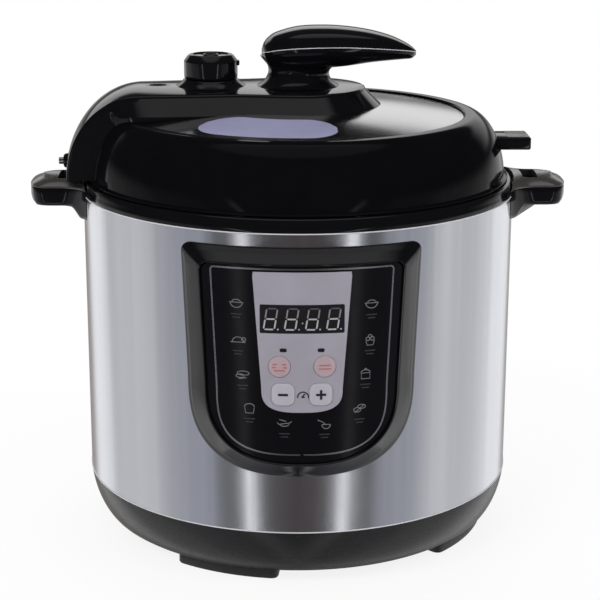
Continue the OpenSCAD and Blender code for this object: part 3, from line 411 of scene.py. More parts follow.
class Paintbox:
    """Keeps one built material for each finish."""

    def __init__(self) -> None:
        """Starts with nothing built."""
        self.built: dict[str, bpy.types.Material] = {}

    def get(self, finish: Finish) -> bpy.types.Material:
        """The material of a finish, built on first use."""
        if finish.name not in self.built:
            self.built[finish.name] = finish.material()
        return self.built[finish.name]


PAINTS = Paintbox()


# ---------------------------------------------------------------- mesh making


def polar(radius: float, angle: float, centre: Point2 = (0.0, 0.0)) -> Point2:
    """A point by radius and angle in degrees about a centre."""
    turn = math.radians(angle)
    return (centre[0] + radius * math.cos(turn), centre[1] + radius * math.sin(turn))


def hoop(a: float, b: float, steps: int, centre: Point2 = (0.0, 0.0)) -> list[Point2]:
    """An ellipse by its half axes, with its last point short of the first."""
    turns = (2 * math.pi * i / steps for i in range(steps))
    return [(centre[0] + a * math.cos(t), centre[1] + b * math.sin(t)) for t in turns]


def arc(centre: Point2, radius: float, start: float, end: float, steps: int) -> list[Point2]:
    """Points on a circular arc.

    Args:
        centre: The arc's centre.
        radius: Its radius.
        start: First angle in degrees.
        end: Last angle in degrees.
        steps: Segments between them.

    Returns:
        The points, both ends among them.
    """
    return [polar(radius, start + (end - start) * i / steps, centre) for i in range(steps + 1)]


def round_rect(half_x: float, half_y: float, corner: float) -> list[Point2]:
    """A rectangle with round corners about the origin."""
    found: list[Point2] = []
    for sx, sy, start in ((1, 1, 0), (-1, 1, 90), (-1, -1, 180), (1, -1, 270)):
        found += arc((sx * (half_x - corner), sy * (half_y - corner)), corner, start, start + 90, 4)
    return found


def superquarter(width: float, height: float, power: float, steps: int) -> list[Point2]:
    """A quarter of a superellipse from (0, height) to (width, 0).

    Args:
        width: Half axis across.
        height: Half axis up.
        power: Exponent; 2 is an ellipse.
        steps: Segments.

    Returns:
        The points, both ends among them.
    """
    turns = (math.pi / 2 * i / steps for i in range(steps + 1))
    return [
        (width * abs(math.sin(t)) ** (2 / power), height * abs(math.cos(t)) ** (2 / power))
        for t in turns
    ]


def smooth_curve(points: Sequence[Sequence[float]], steps: int) -> list[tuple[float, ...]]:
    """A Catmull-Rom curve through points.

    Args:
        points: Points of any dimension.
        steps: Segments between two neighbours.

    Returns:
        The dense points, all given ones among them.
    """
    data = [np.array(p, float) for p in points]
    data = [2 * data[0] - data[1], *data, 2 * data[-1] - data[-2]]
    found: list[tuple[float, ...]] = []
    for a, b, c, d in zip(data, data[1:], data[2:], data[3:]):
        for i in range(steps):
            t = i / steps
            value = 0.5 * (
                2 * b + (c - a) * t + (2 * a - 5 * b + 4 * c - d) * t**2 + (3 * b - a - 3 * c + d) * t**3
            )
            found.append(tuple(float(v) for v in value))
    found.append(tuple(float(v) for v in data[-2]))
    return found


def rounded_profile(corners: Sequence[tuple[float, float, float]], steps: int = 4) -> list[Point2]:
    """A polyline whose corners are rounded.

    Args:
        corners: (x, z, radius) of each corner; the ends keep theirs sharp.
        steps: Segments of each rounding.

    Returns:
        The rounded polyline.
    """
    found: list[Point2] = []
    for i, (x, z, radius) in enumerate(corners):
        if radius <= 0 or i in (0, len(corners) - 1):
            found.append((x, z))
            continue
        here = np.array((x, z))
        before = np.array(corners[i - 1][:2]) - here
        after = np.array(corners[i + 1][:2]) - here
        reach = min(radius, 0.48 * np.linalg.norm(before), 0.48 * np.linalg.norm(after))
        first = here + before / np.linalg.norm(before) * reach
        last = here + after / np.linalg.norm(after) * reach
        for k in range(steps + 1):
            t = k / steps
            spot = (1 - t) ** 2 * first + 2 * t * (1 - t) * here + t**2 * last
            found.append((float(spot[0]), float(spot[1])))
    return found


def wrap(x: float, z: float, radius: float) -> Point3:
    """A point of the front panel laid on a cylinder about the body's axis."""
    return (x, -math.sqrt(radius * radius - x * x), z)


def wrapped(outline: Iterable[Point2], radius: float) -> list[Point3]:
    """An outline of the front panel laid on a cylinder about the body's axis."""
    return [wrap(x, z, radius) for x, z in outline]


def powered(value: float, power: float) -> float:
    """A power of a value's size with the value's sign."""
    return math.copysign(abs(value) ** power, value)


class Sketch:
    """The points and faces of one piece in millimetres."""

    def __init__(self) -> None:
        """Starts an empty piece."""
        self.points: list[Point3] = []
        self.faces: list[tuple[int, ...]] = []

    def grid(
        self,
        rows: Sequence[Sequence[Point3]],
        close_rows: bool = False,
        close_columns: bool = False,
    ) -> None:
        """Adds a sheet of quads through rows of points.

        Args:
            rows: Rows of equally many points.
            close_rows: Whether the last row joins the first.
            close_columns: Whether each row's last point joins its first.
        """
        base = len(self.points)
        wide = len(rows[0])
        for row in rows:
            self.points.extend(tuple(float(v) for v in p) for p in row)
        count = len(rows)
        for k in range(count if close_rows else count - 1):
            below, above = base + k * wide, base + ((k + 1) % count) * wide
            for i in range(wide if close_columns else wide - 1):
                j = (i + 1) % wide
                self.faces.append((below + i, below + j, above + j, above + i))

    def face(self, ring: Sequence[Point3]) -> None:
        """Adds one flat face through a ring of points."""
        base = len(self.points)
        self.points.extend(tuple(float(v) for v in p) for p in ring)
        self.faces.append(tuple(range(base, base + len(ring))))

    def revolve(
        self, profile: Sequence[Point2], steps: int = 160, centre: Point2 = (0.0, 0.0), closed: bool = True
    ) -> None:
        """Turns an outline about an upright axis.

        Args:
            profile: (radius, height) points.
            steps: Segments around.
            centre: Where the axis stands.
            closed: Whether the outline's end joins its start.
        """
        rows = [[(*p, height) for p in hoop(radius, radius, steps, centre)] for radius, height in profile]
        self.grid(rows, close_rows=closed, close_columns=True)

    def block(self, low: Point3, high: Point3) -> None:
        """Adds a box between two corners."""
        xs, ys, zs = zip(low, high)
        bottom = [(xs[0], ys[0]), (xs[1], ys[0]), (xs[1], ys[1]), (xs[0], ys[1])]
        rows = [[(x, y, z) for x, y in bottom] for z in zs]
        self.grid(rows, close_columns=True)
        self.face(rows[0])
        self.face(rows[1])

    def prism(self, lower: Sequence[Point3], upper: Sequence[Point3]) -> None:
        """Adds a closed slab between two outlines of equally many points."""
        self.grid([lower, upper], close_columns=True)
        self.face(lower)
        self.face(upper)

    def solid(self, rings: Sequence[Sequence[Point3]]) -> None:
        """Adds a closed form through rings, with flat ends."""
        self.grid(rings, close_columns=True)
        self.face(rings[0])
        self.face(rings[-1])

    def made(self, name: str, finish: Finish, smooth: float = 32.0, merge: float = 0.01) -> bpy.types.Object:
        """Turns the sketch into an object in metres.

        Args:
            name: The object's name.
            finish: Its finish.
            smooth: Edges sharper than this many degrees stay crisp.
            merge: Points nearer than this many millimetres become one.

        Returns:
            The new object.
        """
        mesh = bpy.data.meshes.new(name)
        mesh.from_pydata([tuple(v * MM for v in p) for p in self.points], [], self.faces)
        obj = bpy.data.objects.new(name, mesh)
        bpy.context.scene.collection.objects.link(obj)
        tidy_mesh(obj, merge * MM)
        soften(obj, smooth)
        paint(obj, finish)
        return obj


def tidy_mesh(obj: bpy.types.Object, merge: float) -> None:
    """Merges doubles, drops flat faces and points every face outwards.

    Args:
        obj: The object to tidy.
        merge: Merging distance in metres.
    """
    work = bmesh.new()
    work.from_mesh(obj.data)
    bmesh.ops.remove_doubles(work, verts=work.verts, dist=merge)
    bmesh.ops.dissolve_degenerate(work, edges=work.edges, dist=merge * 0.5)
    bmesh.ops.recalc_face_normals(work, faces=work.faces)
    work.to_mesh(obj.data)
    work.free()
    obj.data.update()


def soften(obj: bpy.types.Object, angle: float) -> None:
    """Shades a mesh smooth, with edges over an angle in degrees kept crisp."""
    mesh = obj.data
    mesh.polygons.foreach_set("use_smooth", [True] * len(mesh.polygons))
    mesh.set_sharp_from_angle(angle=math.radians(angle))
    mesh.update()


def paint(obj: bpy.types.Object, finish: Finish) -> None:
    """Gives an object one finish."""
    obj.data.materials.clear()
    obj.data.materials.append(PAINTS.get(finish))


def apply_modifiers(obj: bpy.types.Object) -> None:
    """Turns an object's live modifiers into its plain mesh."""
    graph = bpy.context.evaluated_depsgraph_get()
    mesh = bpy.data.meshes.new_from_object(obj.evaluated_get(graph), depsgraph=graph)
    obj.modifiers.clear()
    old = obj.data
    obj.data = mesh
    if old.users == 0:
        bpy.data.meshes.remove(old)


def bevel(obj: bpy.types.Object, width: float, segments: int = 2, angle: float = 30.0) -> None:
    """Rounds an object's edges.

    Args:
        obj: The object.
        width: Width of the rounding in millimetres.
        segments: Steps across it.
        angle: Edges sharper than this many degrees are rounded.
    """
    made = obj.modifiers.new("edge", "BEVEL")
    made.width = width * MM
    made.segments = segments
    made.limit_method = "ANGLE"
    made.angle_limit = math.radians(angle)
    made.harden_normals = False
    made.use_clamp_overlap = True
    apply_modifiers(obj)


def thicken(obj: bpy.types.Object, wall: float) -> None:
    """Gives a sheet a wall in millimetres, inwards from its face."""
    made = obj.modifiers.new("wall", "SOLIDIFY")
    made.thickness = wall * MM
    made.offset = -1.0
    apply_modifiers(obj)


def rounded_block(low: Point3, high: Point3, width: float, name: str, finish: Finish) -> bpy.types.Object:
    """A box with rounded edges.

    Args:
        low: Its lowest corner.
        high: Its highest corner.
        width: Width of the rounding in millimetres.
        name: The object's name.
        finish: Its finish.

    Returns:
        The box.
    """
    made = Sketch()
    made.block(low, high)
    obj = made.made(name, finish)
    bevel(obj, width, 3, 40.0)
    soften(obj, 30.0)
    return obj


def cut(obj: bpy.types.Object, tools: Iterable[bpy.types.Object]) -> None:
    """Takes closed tool shapes out of an object and deletes them."""
    for tool in tools:
        made = obj.modifiers.new("cut", "BOOLEAN")
        made.operation = "DIFFERENCE"
        made.solver = "EXACT"
        made.object = tool
        apply_modifiers(obj)
        bpy.data.objects.remove(tool)


def joined(name: str, parts: Sequence[bpy.types.Object]) -> bpy.types.Object:
    """Several objects as one, with all their finishes.

    Args:
        name: The new object's name.
        parts: Objects to join; they are used up.

    Returns:
        The joined object.
    """
    work = bmesh.new()
    slots: list[bpy.types.Material] = []
    for part in parts:
        start = len(work.faces)
        work.from_mesh(part.data)
        work.faces.ensure_lookup_table()
        shift = []
        for material in part.data.materials:
            if material not in slots:
                slots.append(material)
            shift.append(slots.index(material))
        for piece in work.faces[start:]:
            piece.material_index = shift[piece.material_index] if shift else 0
    mesh = bpy.data.meshes.new(name)
    work.to_mesh(mesh)
    work.free()
    for material in slots:
        mesh.materials.append(material)
    for part in parts:
        bpy.data.objects.remove(part)
    obj = bpy.data.objects.new(name, mesh)
    bpy.context.scene.collection.objects.link(obj)
    return obj


def seat(
    obj: bpy.types.Object, body: str, slot: str, nodes: Sequence[str] = ()
) -> bpy.types.Object:
    """Puts a finished piece on its body.

    Args:
        obj: The piece.
        body: The CAD body that it rides on.
        slot: The record's material slot; not used.
        nodes: CAD nodes that it stands for.

    Returns:
        The piece.
    """
    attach(obj, body)
    if nodes:
        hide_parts(*nodes)
    LOG.info("%s rides on %s, %d faces", obj.name, body, len(obj.data.polygons))
    return obj


# ---------------------------------------------------------------- geometry nodes


class Repeater(Wiring):
    """A geometry-node tree that repeats its mesh, with named inputs."""

    def __init__(self, name: str, **entries: str) -> None:
        """Starts a tree with Count, Material and further inputs.

        Args:
            name: The tree's name.
            entries: Socket type of each further input.
        """
        super().__init__(bpy.data.node_groups.new(name, "GeometryNodeTree"))
        sockets = self.tree.interface
        for way in ("INPUT", "OUTPUT"):
            sockets.new_socket("Geometry", in_out=way, socket_type="NodeSocketGeometry")
        self.sockets = {
            entry: sockets.new_socket(entry, in_out="INPUT", socket_type=f"NodeSocket{kind}").identifier
            for entry, kind in {"Count": "Int", "Material": "Material", **entries}.items()
        }
        self.start = self.tree.nodes.new("NodeGroupInput").outputs
        self.end = self.tree.nodes.new("NodeGroupOutput")

    def place(self, line: Feed, spots: Feed) -> None:
        """Sets copies on a line of points, makes them real and gives them the material.

        Args:
            line: Inputs of the line of points.
            spots: Inputs of the copies.
        """
        points = self.node("MeshLine", {"Count": self.start["Count"], **line}, "Geometry")
        spots = {"Points": points.outputs[0], "Instance": self.start["Geometry"], **spots}
        copies = self.node("InstanceOnPoints", spots, "Geometry")
        real = self.node("RealizeInstances", {0: copies.outputs[0]}, "Geometry")
        dress = {"Geometry": real.outputs[0], "Material": self.start["Material"]}
        self.feed(self.end, {0: self.node("SetMaterial", dress, "Geometry").outputs[0]})

    def run(self, obj: bpy.types.Object, finish: Finish, **values: object) -> None:
        """Applies the tree to an object.

        Args:
            obj: The object whose mesh goes in.
            finish: The finish of the copies.
            values: Values of the other named inputs.
        """
        made = obj.modifiers.new(self.tree.name, "NODES")
        made.node_group = self.tree
        for name, value in {"Material": PAINTS.get(finish), **values}.items():
            made[self.sockets[name]] = value
        obj.update_tag()
        apply_modifiers(obj)


def row_tree() -> Repeater:
    """A tree that repeats its mesh in a straight row by Count and Step."""
    made = Repeater("repeat_in_row", Step="Vector")
    made.place({"Offset": made.start["Step"]}, {})
    return made


def turn_tree() -> Repeater:
    """A tree that repeats its mesh about the upright axis by Count, First and Span."""
    made = Repeater("repeat_around_axis", First="Float", Span="Float")
    index = made.node("InputIndex", family="Geometry").outputs[0]
    turn = made.math("MULTIPLY_ADD", index, made.start["Span"], made.start["First"])
    turned = made.node("CombineXYZ", {"Z": turn}).outputs[0]
    made.place({"Offset": (0.0, 0.0, 0.0)}, {"Rotation": turned})
    return made


# ---------------------------------------------------------------- body


@dataclass
class SteelBody:
    """The brushed tube with its rolled edges and its two openings."""

    radius: float = 143.0
    wall: float = 0.8
    low: float = 38.0
    high: float = 229.0
    front_half: float = 46.0
    front_low: float = 89.0
    front_high: float = 207.5
    inlet_half: float = 14.2
    inlet_low: float = 54.8
    inlet_high: float = 79.2
    segments: int = 288
    roll: float = 0.5
    bead: float = 0.42
    bead_inset: float = 0.45

    def angles(self) -> list[float]:
        """Angles of the columns, with one on each side of each opening."""
        marks = [360.0 * i / self.segments for i in range(self.segments)]
        for half, middle in ((self.front_half, 270.0), (self.inlet_half, 90.0)):
            spread = math.degrees(math.asin(half / self.radius))
            for edge in (middle - spread, middle + spread):
                near = min(range(len(marks)), key=lambda i: abs(marks[i] - edge))
                marks[near] = edge
        return sorted(marks)

    def opened(self, angle: float, height: float) -> bool:
        """Whether a face's middle lies in an opening."""
        x = self.radius * math.cos(math.radians(angle))
        y = math.sin(math.radians(angle))
        if y < 0:
            return abs(x) < self.front_half and self.front_low < height < self.front_high
        return abs(x) < self.inlet_half and self.inlet_low < height < self.inlet_high

    def build(self) -> None:
        """Builds the tube and puts it on the base."""
        marks = self.angles()
        wide = len(marks)
        low, high = self.low + self.roll, self.high - self.roll
        levels = {self.front_low, self.front_high, self.inlet_low, self.inlet_high}
        levels |= {low + (high - low) * i / 16 for i in range(17)}
        path = [(self.radius - self.roll, self.low), (self.radius - self.roll, self.high)]
        path[1:1] = [(self.radius, z) for z in sorted(levels)]
        made = Sketch()
        made.grid([[(*polar(radius, a), z) for a in marks] for radius, z in path], close_columns=True)
        across = [(a + b) / 2 for a, b in zip(marks, [*marks[1:], marks[0] + 360.0])]
        upward = [(below[1] + above[1]) / 2 for below, above in zip(path, path[1:])]
        made.faces = [
            face
            for number, face in enumerate(made.faces)
            if not self.opened(across[number % wide], upward[number // wide])
        ]
        obj = made.made("body_tube", SHELL_STEEL, 40.0)
        thicken(obj, self.wall)
        soften(obj, 40.0)
        # The pale beads on both rims carry a painted highlight of the rolled edges.
        rims = Sketch()
        for middle in (self.low + self.bead_inset, self.high - self.bead_inset):
            rims.revolve(hoop(self.bead, self.bead, 12, (self.radius, middle)), self.segments)
        edges = rims.made("painted_highlight_rims", PAINTED_HIGHLIGHT_EDGE, 60.0)
        seat(joined("body_tube", [obj, edges]), "base", "shell_steel", ["steel_shell"])


@dataclass
class CollarRing:
    """The moulded ring between the steel and the lid."""

    segments: int = 240

    def build(self) -> None:
        """Builds the ring with its inner trough."""
        profile = rounded_profile(
            [
                (116.7, 226.0, 0.0), (116.7, 235.0, 0.0), (121.0, 235.0, 0.0), (121.0, 228.5, 0.5),
                (134.0, 228.5, 0.5), (134.0, 237.4, 0.6), (140.7, 237.4, 0.9), (141.9, 236.6, 0.8),
                (142.75, 233.0, 1.4), (143.3, 231.0, 0.8), (143.3, 229.1, 0.2), (141.9, 229.0, 0.0),
                (141.9, 221.0, 0.0), (140.0, 221.0, 0.0), (140.0, 226.0, 0.0),
            ],
            3,
        )
        made = Sketch()
        made.revolve(profile, self.segments)
        for side in (-1.0, 1.0):
            for y in (-19.0, 19.0):
                made.block((side * 145.0 - 7.0, y - 2.5, 229.0), (side * 145.0 + 7.0, y + 2.5, 231.4))
        obj = made.made("collar_ring", BLACK_GLOSS, 30.0)
        seat(obj, "base", "black_gloss", ["collar"])


@dataclass
class BaseBowl:
    """The moulded bottom that pulls in below the steel."""

    top: float = 38.0
    low: float = 7.0
    radius: float = 143.0
    inset: float = 14.0
    power: float = 1.6
    floor: float = 9.5
    wall: float = 3.0
    vents: int = 18
    segments: int = 240

    def side(self, cut_in: float) -> list[Point2]:
        """The side's profile from the top edge down, drawn in by a wall."""
        height = self.top - self.low
        lip = self.radius - self.inset - cut_in
        quarter = superquarter(self.inset, height, self.power, 28)
        return [(lip + up / height * self.inset, self.top - out / self.inset * height) for out, up in quarter]

    def bowl(self) -> bpy.types.Object:
        """The bowl with its round of vents."""
        outer = [p for p in self.side(0.0) if p[1] > self.low + 1.6]
        lip = [(131.2, 8.5), (130.6, 8.2), (130.3, 7.6), (129.4, 7.0)]
        floor = [(0.0, self.low), (0.0, self.floor), (126.0, self.floor)]
        inner = [p for p in reversed(self.side(self.wall)) if p[1] > self.floor + 1.0]
        rim = [(140.0, self.top), (140.0, 46.0), (142.0, 46.0), (142.0, self.top + 0.1), (142.8, self.top)]
        made = Sketch()
        made.revolve(outer + lip + floor + inner + rim, self.segments)
        obj = made.made("base_bowl_body", BLACK_SATIN, 28.0)
        slit = Sketch()
        slit.block((100.0, -2.0, 0.0), (118.0, 2.0, 20.0))
        tool = slit.made("vent_tool", BLACK_SATIN)
        span = math.radians(360.0 / self.vents)
        turn_tree().run(tool, BLACK_SATIN, Count=self.vents, First=span / 2, Span=span)
        cut(obj, [tool])
        soften(obj, 28.0)
        return obj

    def build(self) -> None:
        """Builds the bowl with its screw pillars and board pillars."""
        posts = Sketch()
        for angle in (45.0, 135.0, 225.0, 315.0):
            posts.revolve([(2.1, 9.0), (6.0, 9.0), (6.0, 40.0), (2.1, 40.0)], 32, polar(96.0, angle))
        for x in (-44.0, 44.0):
            for y in (-78.0, -22.0):
                posts.revolve([(0.0, 9.0), (3.5, 9.0), (3.5, 22.0), (0.0, 22.0)], 24, (x, y))
        obj = joined("base_bowl", [self.bowl(), posts.made("pillars", BLACK_SATIN)])
        seat(obj, "base", "black_satin", ["base_tray"])


@dataclass
class CurvedFeet:
    """Four rubber feet with rounded corners."""

    middles: tuple[float, ...] = (-112.5, -29.0, 67.5, 151.0)
    span: float = 32.0
    inner: float = 104.5
    outer: float = 128.5
    height: float = 7.0
    corner: float = 4.0

    def build(self) -> None:
        """Builds the feet as one piece."""
        made = Sketch()
        for middle in self.middles:
            rings = []
            for inset, z in ((1.6, 0.0), (0.5, 0.35), (0.0, 1.2), (0.0, self.height)):
                rings.append(self.ring(middle, inset, z))
            made.solid(rings)
        obj = made.made("curved_feet", FOOT_RUBBER, 40.0)
        seat(obj, "base", "foot_rubber", ["rubber_feet"])

    def ring(self, middle: float, inset: float, z: float) -> list[Point3]:
        """One level of a foot's outline.

        Args:
            middle: The foot's middle angle in degrees.
            inset: How far the outline is drawn in.
            z: The level.

        Returns:
            The outline's points.
        """
        found: list[Point2] = []
        turns = [math.pi / 8 * k for k in range(5)]
        for radius, sign in ((self.outer - inset, 1.0), (self.inner + inset, -1.0)):
            half = self.span / 2 - math.degrees(inset / radius)
            bend = math.degrees(self.corner / radius)
            for t in turns:
                drawn = sign * self.corner * (1 - math.sin(t))
                found.append((radius - drawn, middle + sign * (bend * (1 - math.cos(t)) - half)))
            for k in range(1, 12):
                found.append((radius, middle + sign * (half - bend) * (k / 6 - 1)))
            for t in turns:
                drawn = sign * self.corner * (1 - math.cos(t))
                found.append((radius - drawn, middle + sign * (half - bend * (1 - math.sin(t)))))
        return [(*polar(radius, angle), z) for radius, angle in found]


# ---------------------------------------------------------------- side handles


@dataclass
class SideHandle:
    """One side handle: a gloss lower body and a satin cap with a slot."""

    side: float
    label: str
    reach: float = 178.0
    half_width: float = 24.0
    root_width: float = 38.0
    root: float = 138.0
    flare_end: float = 157.0
    tip: float = 12.0
    pocket_start: float = 146.5
    pocket_floor: float = 222.7
    body_fit: float = 143.25
    cap_fit: float = 143.55

    def plan(self, inset: float, height: Callable[[float], float]) -> list[Point3]:
        """The handle's outline seen from above, placed on its own side.

        Args:
            inset: How far the outline is drawn in.
            height: Height as a function of the distance from the axis.

        Returns:
            Points from one root corner round the end to the other.
        """
        wide = self.half_width - inset
        gain = self.root_width - self.half_width
        straight = max(self.flare_end + 1.0, self.reach - inset - self.tip)
        half = [
            (self.root + (self.flare_end - self.root) * u, wide + gain * (1 - u) ** 2.2)
            for u in (float(v) for v in np.linspace(0.0, 1.0, 17))
        ]
        half += [(straight + q[1], q[0]) for q in reversed(superquarter(wide, self.tip, 2.5, 16))]
        outline = half + [(x, -y) for x, y in reversed(half[:-1])]
        return [(self.side * x, y, height(x)) for x, y in outline]

    def underside(self, x: float) -> float:
        """Height of the lower body's underside along its length."""
        keys = (
            (138.0, 212.7), (143.5, 212.7), (149.0, 219.7), (173.0, 219.7), (176.6, 222.1), (178.0, 224.7),
        )
        return float(np.interp(x, *zip(*keys)))

    def body(self) -> bpy.types.Object:
        """The lower body, open at its top."""
        rings = [
            self.plan(inset, lambda x, r=rise: self.underside(x) + r)
            for inset, rise in ((3.2, 0.0), (1.4, 0.5), (0.5, 1.5), (0.05, 3.2))
        ]
        rings += [self.plan(0.0, lambda x: 231.2), self.plan(0.3, lambda x: 231.9)]
        made = Sketch()
        made.solid(rings)
        obj = made.made(f"handle_lower_{self.label}", BLACK_GLOSS, 34.0)
        pocket = Sketch()
        ring = [(x, y) for x, y, _ in self.plan(3.0, lambda x: 0.0) if abs(x) > self.pocket_start]
        pocket.prism([(x, y, self.pocket_floor) for x, y in ring], [(x, y, 236.0) for x, y in ring])
        cut(obj, [pocket.made("pocket_tool", BLACK_GLOSS), self.drum(self.body_fit)])
        soften(obj, 34.0)
        return obj

    def cap(self) -> bpy.types.Object:
        """The cap with its slot."""
        levels = (
            (0.3, 232.06), (0.0, 232.6), (0.1, 233.2), (0.7, 233.8), (5.2, 235.7), (6.0, 236.05),
            (7.2, 236.4), (10.0, 237.0), (14.0, 237.6), (18.0, 238.0), (21.0, 238.15), (22.8, 238.2),
        )
        made = Sketch()
        made.solid([self.plan(inset, lambda x, h=level: h) for inset, level in levels])
        obj = made.made(f"handle_cover_{self.label}", CAP_SATIN, 24.0)
        slot = Sketch()
        outline = [(self.side * (154.0 + x), y) for x, y in round_rect(5.0, 14.5, 1.4)]
        slot.prism([(x, y, 230.0) for x, y in outline], [(x, y, 241.0) for x, y in outline])
        cut(obj, [slot.made("slot_tool", CAP_SATIN), self.drum(self.cap_fit)])
        soften(obj, 24.0)
        return obj

    @staticmethod
    def drum(radius: float) -> bpy.types.Object:
        """A round tool that cuts a handle to the body's curve."""
        tool = Sketch()
        tool.revolve([(0.0, 190.0), (radius, 190.0), (radius, 245.0), (0.0, 245.0)], 240, closed=False)
        return tool.made("trim_tool", BLACK_GLOSS)

    def build(self) -> None:
        """Builds both pieces and puts them on the base."""
        seat(self.body(), "base", "black_gloss", [f"handle_body_{self.label}"])
        seat(self.cap(), "base", "black_satin", [f"handle_cap_{self.label}"])


# ---------------------------------------------------------------- lid


@dataclass
class LidForm:
    """The lid's outer surface, which the bridge and the label stand on."""

    apex: float = 286.6
    crown_radius: float = 664.0
    mouth: float = 110.0
    ring_top: float = 278.93

    def crown(self, radius: float) -> float:
        """Height of the steel crown at a radius."""
        return self.apex - self.crown_radius + math.sqrt(self.crown_radius**2 - radius**2)

    def ring_side(self, steps: int = 40) -> list[Point2]:
        """The ring's outer profile from its top to its foot."""
        return [(116.0 + q[0], 240.0 + q[1]) for q in superquarter(21.0, self.ring_top - 240.0, 1.8, steps)]

    def height(self, radius: float) -> float:
        """Height of the lid's outside at any radius."""
        if radius <= self.mouth:
            return self.crown(radius)
        side = [(110.0, 277.9), (113.0, 278.9), *self.ring_side(), (139.5, 238.2), (139.6, 0.0)]
        xs, zs = zip(*side)
        return float(np.interp(radius, xs, zs))

    def build_plate(self) -> None:
        """Builds the steel plate with its skirt and bayonet teeth."""
        outer = [(self.mouth * i / 30, self.crown(self.mouth * i / 30)) for i in range(31)]
        tail = rounded_profile(
            [
                (110.0, 277.43, 0.0), (113.6, 275.03, 1.5), (116.0, 271.43, 2.0), (117.5, 265.43, 3.0),
                (117.5, 252.0, 2.0), (130.5, 252.0, 2.0), (130.5, 231.0, 0.0),
            ]
        )
        inner = rounded_profile(
            [
                (129.3, 231.0, 0.0), (129.3, 250.8, 1.5), (116.3, 250.8, 1.5), (116.3, 265.4, 2.5),
                (114.9, 270.8, 2.0), (112.7, 274.1, 1.5), (109.5, 276.2, 0.5),
            ]
        )
        under = [(109.5 * i / 29, self.crown(109.5 * i / 29) - 1.2) for i in range(28, -1, -1)]
        made = Sketch()
        made.revolve(outer + tail[1:] + inner + under, 240, closed=False)
        plate = made.made("plate_sheet", LID_STEEL, 35.0)
        seat(joined("lid_steel_plate", [plate, self.teeth()]), "lid", "lid_steel", ["lid_plate"])

    @staticmethod
    def teeth() -> bpy.types.Object:
        """The skirt's six bayonet teeth."""
        corners = ((123.3, 231.0), (129.6, 231.0), (129.6, 233.5), (123.3, 233.5))
        rows = [[(*polar(radius, -14 + 28 * i / 12), z) for i in range(13)] for radius, z in corners]
        tooth = Sketch()
        tooth.grid(rows, close_rows=True)
        for end in (0, -1):
            tooth.face([row[end] for row in rows])
        obj = tooth.made("plate_teeth", LID_STEEL, 30.0)
        turn_tree().run(obj, LID_STEEL, Count=6, First=math.radians(30.0), Span=math.radians(60.0))
        soften(obj, 30.0)
        return obj

    def build_ring(self) -> None:
        """Builds the black ring with its standing fin."""
        lip = rounded_profile(
            [
                (110.1, 277.7, 0.0), (109.6, 278.0, 0.3), (110.6, 279.0, 0.9), (113.4, 279.0, 1.0),
                (116.0, self.ring_top, 0.0),
            ]
        )
        foot = rounded_profile(
            [
                (137.0, 240.0, 0.0), (139.4, 238.9, 0.5), (139.5, 238.2, 0.3), (134.6, 238.2, 0.3),
                (134.3, 240.0, 0.0),
            ],
            3,
        )
        inner = []
        for r, z in reversed(self.ring_side(24)):
            out = r - 116.0
            inner.append((r - 2.6 * (0.35 + 0.65 * min(1.0, out / 10.0)), z - 2.4 * max(0.0, 1 - out / 18.0)))
        made = Sketch()
        made.revolve(lip + self.ring_side()[1:] + foot[1:] + inner + [(112.5, 276.3)], 288)
        ring = made.made("ring_shell", RING_GLOSS, 35.0)
        seat(joined("lid_black_ring", [ring, self.fin()]), "lid", "black_gloss", ["lid_ring"])

    @staticmethod
    def fin() -> bpy.types.Object:
        """The fin that stands out of the ring, with ribs across its top."""
        slab = rounded_block((128.0, -13.5, 255.0), (154.0, 13.5, 263.4), 1.3, "fin_slab", BLACK_GLOSS)
        rib = Sketch()
        rib.block((138.5, -12.2, 263.0), (138.9, 12.2, 263.6))
        ribs = rib.made("fin_ribs", CAP_SATIN)
        row_tree().run(ribs, CAP_SATIN, Count=18, Step=(0.8 * MM, 0.0, 0.0))
        return joined("fin", [slab, ribs])


